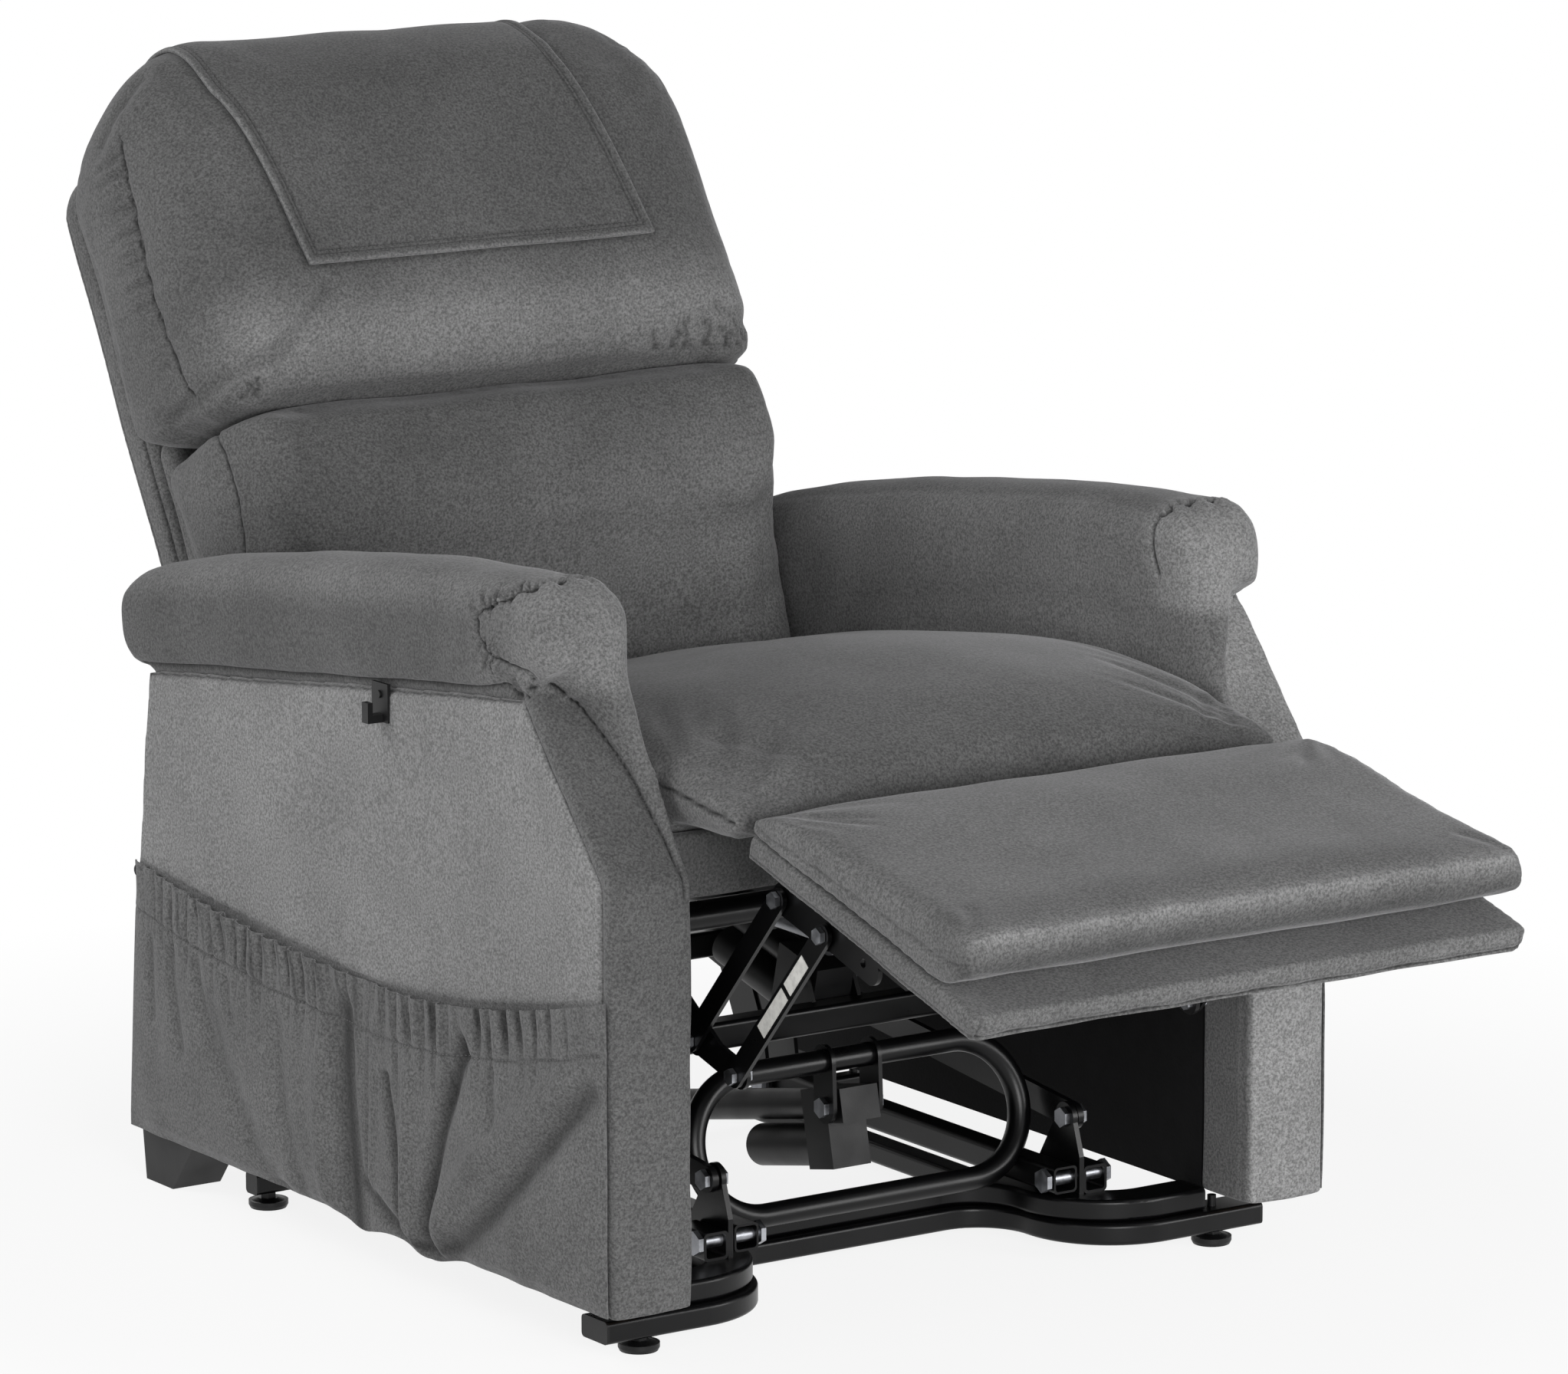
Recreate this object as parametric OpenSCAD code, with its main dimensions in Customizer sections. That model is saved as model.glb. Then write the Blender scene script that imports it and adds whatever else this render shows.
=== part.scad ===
// Lift recliner chair: an upholstered armchair whose base lifts and tips it forward, with a powered
// legrest and backrest. Sizes in millimetres, +Z up, the sitter faces -Y, the floor is Z = 0 and the
// origin is below the middle of the whole chair. Drawn half reclined, with the legrest raised.

/* [Overall] */
// Width over the two side panels
chair_w = 750; // [640:10:900]
// Thickness of one arm between its inner and outer face
arm_w = 82; // [64:1:104]
// Depth of a side panel along the floor
panel_depth = 812; // [720:4:980]
// Height of the seat crown above the floor
seat_h = 561; // [520:1:680]

/* [Side panels] */
// Height of the lower edge of the arms above the floor
panel_bottom = 50; // [40:1:52]
// Height of the top of the straight front edge
front_edge_top = 420; // [360:5:450]
// Height of the panel where the arm pad starts at the front
arm_front_h = 562; // [540:1:600]
// Height of the panel at its rear corner
arm_rear_h = 483; // [460:1:520]
// Thickness of a padded arm rest above the panel at the front
arm_pad_h = 96; // [70:1:110]
// How far a side pocket stands off its panel at its fullest
pocket_bulge = 18; // [12:1:26]

/* [Seat and back] */
// Slack between a cushion and the arm beside it
cushion_slack = 5; // [3:0.5:10]
// How much the middle of the seat cushion rises over its sides
seat_crown = 38; // [0:1:55]
// Lean of the backrest from upright as drawn, in degrees
back_lean = 28.4; // [12:0.2:48]
// Width of the back shell
shell_w = 544; // [440:4:560]
// Length of the back shell above the backrest hinge
shell_len = 612; // [520:4:700]
// Thickness of the back shell
shell_t = 48; // [30:1:52]
// Width of the head cushion
head_w = 600; // [500:4:620]
// Width of the cloth over the head cushion
cloth_w = 376; // [240:4:420]

/* [Legrest] */
// Length of the footrest board
board_len = 335; // [280:5:380]
// Width of the footrest board
board_w = 566; // [460:2:572]
// Thickness of the footrest board with its cloth
board_t = 23; // [15:1:23]
// Slope of the footrest board as drawn, in degrees
board_slope = 16.2; // [5:0.2:30]
// Width across a legrest link
link_w = 20; // [14:1:20]
// Thickness of the legrest and stabiliser steel
link_t = 4; // [3:0.5:4]

/* [Lift frame] */
// Width of the swept floor tube seen from above
base_tube_w = 40; // [30:1:44]
// Height of one floor tube
base_tube_h = 20; // [16:0.5:20]
// Wall of the steel tubes
tube_wall = 2; // [1.5:0.1:3]
// Outer size of the hoop tube
hoop_d = 21; // [16:0.5:24]
// Width of the closed hoop
hoop_w = 366; // [340:2:368]
// Distance between the upper and lower bar of the hoop
hoop_rise = 123.8; // [116:1:132]
// Width of a square lift arm tube
arm_tube = 25; // [20:0.5:25]
// Diameter of the hinge pins of the lift frame
lift_pin_d = 12; // [10:0.5:14]
// Diameter of the actuator pins
actuator_pin_d = 10; // [8:0.5:11]

/* [Hidden] */
$fn = 48;
play = 0.1;

// Positions across the chair, from the middle plane outwards
half_w = chair_w / 2;
arm_in = half_w - arm_w;
seat_half = arm_in - cushion_slack;
rail_out = arm_in - 10;
plate_in = rail_out - 31;
plate_t = 5;
plate_out = plate_in + plate_t;
crank_in = plate_in - 18;
link_in = crank_in + link_t + 2;
control_in = link_in + link_t + 2;
arm_x = 169.5;
stub_in = 189;

// Everything above the lift frame moves up with the seat, everything behind it with the panels
rise = seat_h - 561;
back_shift = panel_depth - 812;

// Hinge centres in the side view, as [depth, height]
lift_pivot = [115, 69.5];
chassis_pivot = [560, 69.5];
stabiliser_front = [127.9, 120.3];
stabiliser_rear = [610, 170];
lift_motor_pin = [197, 145];
lift_rod_pin = [600, 60];
crank_pivot = [165, 343 + rise];
link_pin = crank_pivot + [-85, -84];
board_pin = [-51, 405 + rise];
pin_gap = [-66, -18];
control_gap = [43.7, -10.7];
link_pin_rear = link_pin + pin_gap;
board_pin_rear = board_pin + pin_gap;
control_pin = crank_pivot + control_gap;
control_pin_low = link_pin + control_gap;
legrest_motor_pin = [560, 318 + rise];
legrest_rod_pin = crank_pivot + [-19.3, -30.35];
recline_pivot = [715 + back_shift, 395 + rise];
recline_motor_pin = [310, 232 + rise];
recline_rod_pin = recline_pivot + [13, -58];

// The whole chair is centred over the origin in depth
tip_front = board_pin[0] - (board_len - 2) * cos(board_slope) - 67 * sin(board_slope);
tip_rear = recline_pivot[0] + shell_len * sin(back_lean) + 122 * cos(back_lean);
mid_y = (tip_front + tip_rear) / 2;

// Floor frame
foot_h = 14;
base_top = foot_h + base_tube_h;
frame_top = base_top + base_tube_h;
sweep_front = 72;
sweep_rear = 212;
sweep_r = (sweep_rear - sweep_front) / 2;
sweep_x = 172;
upper_back = 8;
rail_y_end = 646 + back_shift;
rail_x = [184, 209];
rear_tube_d = 20;
foot_x = 304;
foot_front_y = 70;
foot_rear_y = rail_y_end + rear_tube_d / 2;
foot_rear_x = 322;
base_half = 345;

// Colours
steel_black = [0.07, 0.07, 0.08];
zinc = [0.62, 0.63, 0.66];
plastic_black = [0.1, 0.1, 0.11];
cloth_grey = [0.36, 0.36, 0.37];
lining_black = [0.05, 0.05, 0.055];
timber = [0.72, 0.58, 0.4];

// ---------- shared shapes ----------
module placed() translate([0, -mid_y, 0]) children();
module both_sides() { children(); mirror([1, 0, 0]) children(); }
module from_side(x0, thick) translate([x0, 0, 0]) rotate([90, 0, 90]) linear_extrude(thick) children();
module pin(p, r, x0, x1) translate([x0, p[0], p[1]]) rotate([0, 90, 0]) cylinder(r = r, h = x1 - x0);
module hex(p, across, x0, x1) translate([x0, p[0], p[1]]) rotate([0, 90, 0])
  cylinder(r = across / sqrt(3), h = x1 - x0, $fn = 6);

// Hexagon bolt with a nut, its shank along the width of the chair
module bolt(p, d, x_head, x_nut) {
  pin(p, d / 2, x_head - 5, x_nut + 5);
  hex(p, d * 1.6, x_head - 5, x_head);
  hex(p, d * 1.6, x_nut, x_nut + 5);
}

// Flat bar with rounded ends between two hinge centres, its straight part a hair narrower than its eyes
waist = 0.05;
module bar(p, q, w) {
  d = q - p;
  translate(p) rotate(atan2(d[1], d[0])) translate([0, waist / 2 - w / 2]) square([norm(d), w - waist]);
  translate(p) circle(w / 2);
  translate(q) circle(w / 2);
}

module rounded(w, h, r) {
  square([w - 2 * r, h], center = true);
  square([w, h - 2 * r], center = true);
  for (x = [-1, 1], y = [-1, 1]) translate([x * (w / 2 - r), y * (h / 2 - r)]) circle(r);
}

module tube_ring(w, h, wall) difference() {
  rounded(w, h, 4);
  rounded(w - 2 * wall, h - 2 * wall, 4 - wall / 2);
}

// Frame whose Y runs along the backrest's thickness and Z up the backrest
module on_back() translate([0, recline_pivot[0], recline_pivot[1]]) rotate([-back_lean, 0, 0]) children();
// Frame whose Y runs rearward along the footrest board and Z away from its face
module on_board() translate([0, board_pin[0], board_pin[1]]) rotate([board_slope, 0, 0]) children();

// ---------- soft shapes ----------
function curve(a, b, c, d, t) = 0.5 * (2 * b + (c - a) * t + (2 * a - 5 * b + 4 * c - d) * t * t
  + (3 * b - a - 3 * c + d) * t * t * t);
function smoothed(p, k) = let (n = len(p)) [for (i = [0:n - 1]) for (j = [0:k - 1])
  curve(p[(i + n - 1) % n], p[i], p[(i + 1) % n], p[(i + 2) % n], j / k)];

// Closed skin through rings of equal length; each end is one flat cap, or a strip where the rings are
// thin and bent
module skin(rings, strip = false) {
  n = len(rings);
  m = len(rings[0]);
  last = (n - 1) * m;
  walls = [for (i = [0:n - 2]) for (j = [0:m - 1]) let (k = (j + 1) % m)
    each [[i * m + j, i * m + k, (i + 1) * m + k], [i * m + j, (i + 1) * m + k, (i + 1) * m + j]]];
  caps = [[for (j = [m - 1:-1:0]) j], [for (j = [0:m - 1]) last + j]];
  strips = [for (j = [0:m / 2 - 2]) let (k = m - 1 - j)
    each [[j + 1, j, k, k - 1], [last + j, last + j + 1, last + k - 1, last + k]]];
  polyhedron([for (r = rings) each r], concat(walls, strip ? strips : caps));
}

// Stations across a cushion of half width w with an edge radius e: [position, how far the ring is inset]
function stations(w, e, n = 3) = [
  for (a = [90, 60, 30]) [-(w - e + e * sin(a)), e * (1 - cos(a))],
  for (k = [-n:n]) [k * (w - e) / n, 0],
  for (a = [30, 60, 90]) [w - e + e * sin(a), e * (1 - cos(a))]];
// How far a rounded corner of radius r lies below the top edge at x
function corner_drop(x, w, r) = abs(x) > w - r ? r - sqrt(max(0, r * r - pow(abs(x) - w + r, 2))) : 0;

// Ring of a cushion: the side profile drawn in by the inset, its upper part raised by the crown
function cushion_ring(profile, mid, half, x, inset, crown) = [for (p = profile) [x,
  mid[0] + (p[0] - mid[0]) * (1 - inset / half[0]),
  mid[1] + (p[1] - mid[1]) * (1 - inset / half[1]) + crown * max(0, (p[1] - mid[1]) / half[1])]];

module cushion(profile, mid, half, w, e, crown = 0, corner = 0)
  skin([for (s = stations(w, e, corner > 0 ? 4 : 3)) cushion_ring(profile, mid, half, s[0], s[1],
    crown * pow(cos(90 * s[0] / w), 1.2) - corner_drop(s[0], w, corner))]);

// Cloth of a given thickness between two matching grids of points
module cloth(outer, inner) {
  n = len(outer);
  m = len(outer[0]);
  skin([for (i = [0:n - 1]) concat(outer[i], [for (j = [m - 1:-1:0]) inner[i][j]])], strip = true);
}

// ---------- floor frame ----------
module swept_tube(z0, back) translate([0, back, z0 + base_tube_h / 2]) both_sides() {
  translate([sweep_x + sweep_r, sweep_front + sweep_r, 0]) rotate([0, 0, 180])
    rotate_extrude(angle = 90) translate([sweep_r, 0]) children();
  translate([sweep_x - sweep_r, sweep_rear - sweep_r, 0])
    rotate_extrude(angle = 90) translate([sweep_r, 0]) children();
}

module swept_straights(z0, back, x_end) translate([0, back, z0 + base_tube_h / 2]) {
  translate([-(sweep_x - sweep_r), sweep_rear, 0]) rotate([90, 0, 90])
    linear_extrude(2 * (sweep_x - sweep_r)) children();
  both_sides() translate([sweep_x + sweep_r, sweep_front, 0]) rotate([90, 0, 90])
    linear_extrude(x_end - sweep_x - sweep_r) children();
}

module floor_tube(z0, back, x_end) {
  swept_tube(z0, back) tube_ring(base_tube_w, base_tube_h, tube_wall);
  swept_straights(z0, back, x_end) tube_ring(base_tube_w, base_tube_h, tube_wall);
}

module floor_tube_solid(z0, back, x_end) {
  swept_tube(z0, back) square([base_tube_w, base_tube_h], center = true);
  swept_straights(z0, back, x_end) square([base_tube_w, base_tube_h], center = true);
}

module stud_holes(x, y) both_sides() translate([x, y, 0]) cylinder(d = 8.2, h = 60);

module base_front_tube() color(steel_black) placed() difference() {
  floor_tube(foot_h, 0, base_half);
  stud_holes(foot_x, foot_front_y);
}

upper_half = arm_in - 6;
module lift_frame_tube() color(steel_black) placed() floor_tube(base_top, upper_back, upper_half);

module base_side_rails() color(steel_black) placed() difference() {
  both_sides() translate([(rail_x[0] + rail_x[1]) / 2, 104, foot_h + base_tube_h / 2]) rotate([-90, 0, 0])
    linear_extrude(rail_y_end - 104) tube_ring(rail_x[1] - rail_x[0], base_tube_h, tube_wall);
  floor_tube_solid(foot_h, 0, base_half);
}

rear_half = 337;
module base_rear_tube() color(steel_black) placed() {
  difference() {
    translate([-rear_half, foot_rear_y, foot_h + base_tube_h / 2]) rotate([90, 0, 90])
      linear_extrude(2 * rear_half) tube_ring(rear_tube_d, base_tube_h, tube_wall);
    stud_holes(foot_rear_x, foot_rear_y);
  }
  rod_lugs();
}

module tube_cap(x, y, z, w) translate([x, y, z]) rotate([90, 0, 90]) {
  linear_extrude(2.5) rounded(w, base_tube_h, 4);
  translate([0, 0, -8]) linear_extrude(8)
    rounded(w - 2 * tube_wall - 0.2, base_tube_h - 2 * tube_wall - 0.2, 3);
}

module tube_end_caps() color(plastic_black) placed() both_sides() {
  tube_cap(base_half, sweep_front, foot_h + base_tube_h / 2, base_tube_w);
  tube_cap(upper_half, sweep_front + upper_back, base_top + base_tube_h / 2, base_tube_w);
  tube_cap(rear_half, foot_rear_y, foot_h + base_tube_h / 2, rear_tube_d);
}

module pivot_bracket() {
  difference() {
    union() {
      translate([stub_in + 12.5, 105, frame_top + 12.5]) rotate([-90, 0, 0])
        linear_extrude(45) tube_ring(25, 25, 2.5);
      from_side(stub_in - 5, 5) {
        polygon([[105, frame_top], [172, frame_top], [172, frame_top + 14], [141, 118], [115, 118],
          [105, 88]]);
        translate(stabiliser_front) circle(13.5);
      }
    }
    pin(lift_pivot, lift_pin_d / 2 + play, stub_in - 6, stub_in + 26);
    pin(stabiliser_front, 5 + play, stub_in - 6, stub_in + 1);
  }
}
module pivot_brackets() color(steel_black) placed() both_sides() pivot_bracket();

module rod_lugs() both_sides() difference() {
  from_side(10.5, 4) {
    polygon([[586, 48], [586, 72], [612, 75], [foot_rear_y + 10, 40], [foot_rear_y + 10, base_top],
      [rail_y_end, base_top], [rail_y_end, foot_h], [rail_y_end - 12, foot_h]]);
  }
  pin(lift_rod_pin, actuator_pin_d / 2 + play, 9, 16);
}

module base_pins() color(zinc) placed() {
  both_sides() {
    bolt(lift_pivot, lift_pin_d, 154.5, stub_in + 25);
    bolt(stabiliser_front, 10, stub_in - 5, stub_in + 8.5);
  }
  bolt(lift_rod_pin, actuator_pin_d, -14.5, 14.5);
}

module levelling_foot(x, y) placed() translate([x, y, 0]) {
  color(plastic_black) {
    cylinder(d1 = 33, d2 = 36, h = 3);
    translate([0, 0, 3]) cylinder(d = 36, h = 4);
    translate([0, 0, 7]) cylinder(d1 = 30, d2 = 18, h = 2);
  }
  color(zinc) {
    translate([0, 0, 9]) cylinder(d = 15, h = foot_h - 9.2, $fn = 6);
    translate([0, 0, foot_h - 0.2]) cylinder(d = 8, h = 30.2);
  }
}
module foot_front_left() levelling_foot(-foot_x, foot_front_y);
module foot_front_right() levelling_foot(foot_x, foot_front_y);
module foot_rear_left() levelling_foot(-foot_rear_x, foot_rear_y);
module foot_rear_right() levelling_foot(foot_rear_x, foot_rear_y);

// ---------- lift cradle ----------
hoop_low = [165, 67];
hoop_tilt = 15.95;
hoop_r = hoop_rise / 2;
hoop_straight = (hoop_w - hoop_d) / 2 - hoop_r;
hoop_top = hoop_low + hoop_rise * [sin(hoop_tilt), cos(hoop_tilt)];

module hoop_ring() difference() {
  circle(d = hoop_d);
  circle(d = hoop_d - 2 * tube_wall);
}

module hoop_path() translate([0, hoop_low[0], hoop_low[1]]) rotate([-hoop_tilt, 0, 0]) {
  for (v = [0, hoop_rise]) translate([-hoop_straight, 0, v]) rotate([90, 0, 90])
    linear_extrude(2 * hoop_straight) children();
  both_sides() translate([hoop_straight, 0, hoop_r]) rotate([90, 0, 0]) rotate([0, 0, -90])
    rotate_extrude(angle = 180) translate([hoop_r, 0]) children();
}

arm_box_y = [106, 574];
module arm_boxes(w) both_sides() translate([arm_x - w / 2, arm_box_y[0], lift_pivot[1] - 12])
  cube([w, arm_box_y[1] - arm_box_y[0], 24]);

module hoop_lugs() both_sides() difference() {
  from_side(22.5, 4) bar(hoop_top, lift_motor_pin, 30);
  pin(lift_motor_pin, actuator_pin_d / 2 + play, 20, 30);
  hoop_path() circle(d = hoop_d - 1);
}

module lift_hoop() color(steel_black) placed() {
  difference() {
    hoop_path() hoop_ring();
    arm_boxes(arm_tube);
  }
  hoop_lugs();
}

module lift_arms() color(steel_black) placed() difference() {
  both_sides() translate([arm_x, arm_box_y[0], lift_pivot[1]]) rotate([-90, 0, 0])
    linear_extrude(arm_box_y[1] - arm_box_y[0]) tube_ring(arm_tube, 24, tube_wall);
  both_sides() {
    pin(lift_pivot, lift_pin_d / 2 + play, 150, 190);
    pin(chassis_pivot, lift_pin_d / 2 + play, 150, 190);
  }
}

module hoop_pin() color(zinc) placed() bolt(lift_motor_pin, actuator_pin_d, -26.5, 26.5);

module stabiliser_links() color(steel_black) placed() both_sides() difference() {
  from_side(stub_in + 2, 6) bar(stabiliser_front, stabiliser_rear, 24);
  pin(stabiliser_front, 5 + play, stub_in, stub_in + 10);
  pin(stabiliser_rear, 6.4, stub_in, stub_in + 10);
}

// ---------- linear actuators ----------
// Frame at the fixed pin with Y along the rod
module along(p, q, x) translate([x, p[0], p[1]]) rotate([atan2(q[1] - p[1], q[0] - p[0]), 0, 0]) children();

module motor_unit(tube_end) difference() {
  union() {
    translate([-20, -18, -15]) cube([40, 62, 30]);
    translate([-20, 6, -56]) cube([40, 38, 42]);
    translate([0, 40, 0]) rotate([-90, 0, 0]) cylinder(r = 14, h = tube_end - 40);
    translate([0, 44, -36.5]) rotate([-90, 0, 0]) cylinder(r = 19, h = 100);
  }
  rotate([0, 90, 0]) cylinder(r = actuator_pin_d / 2 + play, h = 50, center = true);
  translate([0, 56, 0]) rotate([-90, 0, 0]) cylinder(r = 10 + play, h = tube_end);
}

module push_rod(len, start, eye_r, hole_r) difference() {
  union() {
    translate([0, start, 0]) rotate([-90, 0, 0]) cylinder(r = 10, h = len - eye_r - start + 3);
    translate([0, len, 0]) rotate([0, 90, 0]) cylinder(r = eye_r, h = 16, center = true);
  }
  translate([0, len, 0]) rotate([0, 90, 0]) cylinder(r = hole_r, h = 20, center = true);
}

legrest_x = -50;
recline_x = 50;
lift_len = norm(lift_rod_pin - lift_motor_pin);
legrest_len = norm(legrest_rod_pin - legrest_motor_pin);
recline_len = norm(recline_rod_pin - recline_motor_pin);

module lift_motor() color(plastic_black) placed() along(lift_motor_pin, lift_rod_pin, 0) motor_unit(300);
module lift_rod() color(zinc) placed() along(lift_motor_pin, lift_rod_pin, 0)
  push_rod(lift_len, 130, 14, actuator_pin_d / 2 + 3.6);
module legrest_motor() color(plastic_black) placed()
  along(legrest_motor_pin, legrest_rod_pin, legrest_x) motor_unit(320);
module legrest_rod() color(zinc) placed() along(legrest_motor_pin, legrest_rod_pin, legrest_x)
  push_rod(legrest_len, 130, 17, actuator_pin_d / 2 + 6);
module recline_motor() color(plastic_black) placed()
  along(recline_motor_pin, recline_rod_pin, recline_x) motor_unit(330);
module recline_rod() color(zinc) placed() along(recline_motor_pin, recline_rod_pin, recline_x)
  push_rod(recline_len, 130, 15, actuator_pin_d / 2 + 3.6);

// ---------- chassis ----------
front_cross = [283, 202 + rise];
rear_cross = [634 + back_shift, 189];
cross_size = 25;

module chassis_plates() color(steel_black) placed() both_sides() difference() {
  from_side(plate_in, plate_t) polygon([[130, 318 + rise], [130, 400 + rise], [660 + back_shift, 385 + rise],
    [660 + back_shift, 165], [600, 165], [520, 228 + rise], [304, 185 + rise], [262, 185 + rise],
    [232, 218 + rise], [185, 302 + rise]]);
  pin(crank_pivot, 5 + play, plate_in - 1, plate_out + 1);
  pin(control_pin, 4 + play, plate_in - 1, plate_out + 1);
  for (y = [300, 400, 500]) pin([y, 300 + rise], 16, plate_in - 1, plate_out + 1);
}

module chassis_cross_tubes() color(steel_black) placed() {
  for (p = [front_cross, rear_cross]) translate([-plate_in, p[0], p[1]]) rotate([90, 0, 90])
    linear_extrude(2 * plate_in) tube_ring(cross_size, cross_size, tube_wall);
  lugs(recline_motor_pin, front_cross + [cross_size / 2 + 2, 2], recline_x);
  lugs(legrest_motor_pin, rear_cross - [cross_size / 2 + 2, -2], legrest_x);
}

fork_x = [151, 184];
module lift_forks() color(steel_black) placed() both_sides() for (x = fork_x) difference() {
  from_side(x, 4) difference() {
    union() {
      polygon([[546, 62], [574, 62], [626, 165], [652 + back_shift, 172], [652 + back_shift, 209],
        [600, 209], [556, 120]]);
      translate(chassis_pivot) circle(14);
    }
    translate(rear_cross) square(cross_size, center = true);
  }
  pin(chassis_pivot, lift_pin_d / 2 + play, x - 1, x + 5);
  if (x > arm_x) pin(stabiliser_rear, 5 + play, x - 1, x + 5);
}

// Two lugs that hold the fixed end of a linear actuator
module lugs(p, seat, x) for (s = [-1, 1]) difference() {
  from_side(x + s * 24.5 - 2, 4) bar(p, seat, 26);
  pin(p, actuator_pin_d / 2 + play, x - 30, x + 30);
  for (c = [front_cross, rear_cross]) translate([x, c[0], c[1]])
    cube([60, cross_size - 2, cross_size - 2], center = true);
}

module chassis_pins() color(zinc) placed() {
  both_sides() {
    bolt(chassis_pivot, lift_pin_d, fork_x[0], fork_x[1] + 4);
    bolt(stabiliser_rear, 10, fork_x[1], stub_in + 8.5);
    pin(control_pin, 4, control_in - 3, plate_out + 5);
    pin(control_pin, 6.5, control_in - 3, control_in - 0.3);
    hex(control_pin, 13, plate_out, plate_out + 5);
    bolt(recline_pivot, 10, rail_out - 24, rail_out - 11.5);
  }
  bolt(legrest_motor_pin, actuator_pin_d, legrest_x - 26.5, legrest_x + 26.5);
  bolt(recline_motor_pin, actuator_pin_d, recline_x - 26.5, recline_x + 26.5);
}

rail_top = 428 + rise;
seat_y = [62, 632 + back_shift];
module seat_side_rails() color(timber) placed() both_sides()
  translate([plate_out, seat_y[0], rail_top - 43]) cube([rail_out - plate_out, seat_y[1] - seat_y[0], 43]);

module seat_cross_rails() placed() {
  color(timber) {
    translate([-plate_out, seat_y[0], rail_top - 28]) cube([2 * plate_out, 22, 28]);
    translate([-plate_out, seat_y[1] - 22, rail_top - 28]) cube([2 * plate_out, 22, 28]);
  }
}

module seat_webbing() color(lining_black) placed() for (x = [-200:100:200])
  translate([x - 25, seat_y[0], rail_top]) cube([50, seat_y[1] - seat_y[0], 2]);

module seat_front_board() color(cloth_grey) placed()
  translate([-rail_out, seat_y[0] - 15, rail_top - 32]) cube([2 * rail_out, 15, 43]);

seat_profile = smoothed([[634 + back_shift, 434], [636 + back_shift, 450], [613 + back_shift, 466],
  [450, 493], [297, 515], [159, 523], [50, 515], [-10, 502], [-44, 488], [-55, 472], [-44, 459],
  [20, 455], [56, 452], [84, 433], [300, 431.2], [500, 431.2]], 2);
module seat_cushion() color(cloth_grey) placed() translate([0, 0, rise])
  cushion(seat_profile, [290, 478], [350, 46], seat_half, 18, seat_crown);

module control_box() color(plastic_black) placed() difference() {
  union() {
    translate([plate_in - 46, 420, 250 + rise]) cube([46, 130, 70]);
    translate([plate_in - 30, 412, 262 + rise]) cube([24, 8, 30]);
  }
  translate([plate_in - 27, 410, 266 + rise]) cube([18, 8, 22]);
}

// ---------- legrest ----------
module torque_tube() color(steel_black) placed() {
  translate([-crank_in, crank_pivot[0], crank_pivot[1]]) rotate([0, 90, 0]) difference() {
    cylinder(r = 13, h = 2 * crank_in);
    translate([0, 0, -1]) cylinder(r = 11, h = 2 * crank_in + 2);
  }
  for (s = [-1, 1]) difference() {
    from_side(legrest_x + s * 12 - 2, 4) bar(crank_pivot, legrest_rod_pin, 24);
    pin(crank_pivot, 13, legrest_x - 20, legrest_x + 20);
    pin(legrest_rod_pin, actuator_pin_d / 2 + play, legrest_x - 20, legrest_x + 20);
  }
}

module crank_plates() color(steel_black) placed() both_sides() difference() {
  from_side(crank_in, link_t) {
    bar(crank_pivot, link_pin, 28);
    bar(link_pin, link_pin_rear, 24);
    polygon([crank_pivot, link_pin, link_pin_rear]);
  }
  pin(crank_pivot, 5 + play, crank_in - 1, crank_in + 6);
  for (p = [link_pin, link_pin_rear]) pin(p, 4 + play, crank_in - 1, crank_in + 6);
}

module crank_pins() color(zinc) placed() {
  both_sides() {
    pin(crank_pivot, 5, crank_in - 4, plate_out + 6);
    hex(crank_pivot, 16, plate_out + 0.5, plate_out + 6);
    for (p = [link_pin, link_pin_rear]) bolt(p, 8, crank_in, link_in + link_t + 0.5);
  }
  bolt(legrest_rod_pin, actuator_pin_d, legrest_x - 14, legrest_x + 14);
}

module link_holes(list, r) for (p = list) pin(p, r, link_in - 1, link_in + link_t + 1);

module legrest_links_long() color(steel_black) placed() both_sides() {
  difference() {
    from_side(link_in, link_t) {
      bar(link_pin, board_pin, link_w);
      bar(link_pin, control_pin_low, link_w);
    }
    link_holes([link_pin, board_pin], 4 + play);
  }
  pin(control_pin_low, 4, link_in, control_in + 3.4);
  pin(control_pin_low, 6.5, control_in + 3.2, control_in + 5);
}

module legrest_links_rear() color(steel_black) placed() both_sides() difference() {
  from_side(link_in, link_t) bar(link_pin_rear, board_pin_rear, link_w);
  link_holes([link_pin_rear], 4 + play);
  link_holes([board_pin_rear], 4.6);
}

module legrest_control_links() color(steel_black) placed() both_sides() difference() {
  from_side(control_in, 3) bar(control_pin, control_pin_low, link_w);
  pin(control_pin, 4 + play, control_in - 1, control_in + link_t);
  pin(control_pin_low, 4.6, control_in - 1, control_in + link_t);
}

module footrest_brackets() color(steel_black) placed() {
  both_sides() {
    difference() {
      union() {
        from_side(crank_in, link_t) {
          bar(board_pin, board_pin_rear, 28);
          bar(board_pin_rear, board_pin_rear + [-62, -19], 24);
        }
        on_board() translate([crank_in - 22, -190, 40]) cube([22 + link_t, 186, 4]);
        on_board() translate([crank_in, -184, 8]) cube([link_t, 176, 32]);
      }
      for (p = [board_pin, board_pin_rear]) pin(p, 4 + play, crank_in - 1, crank_in + 6);
      pin([-169, 373 + rise], 4, crank_in - 1, crank_in + 6);
    }
  }
}

module footrest_pins() color(zinc) placed() both_sides() for (p = [board_pin, board_pin_rear])
  bolt(p, 8, crank_in, link_in + link_t + 0.5);

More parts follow.
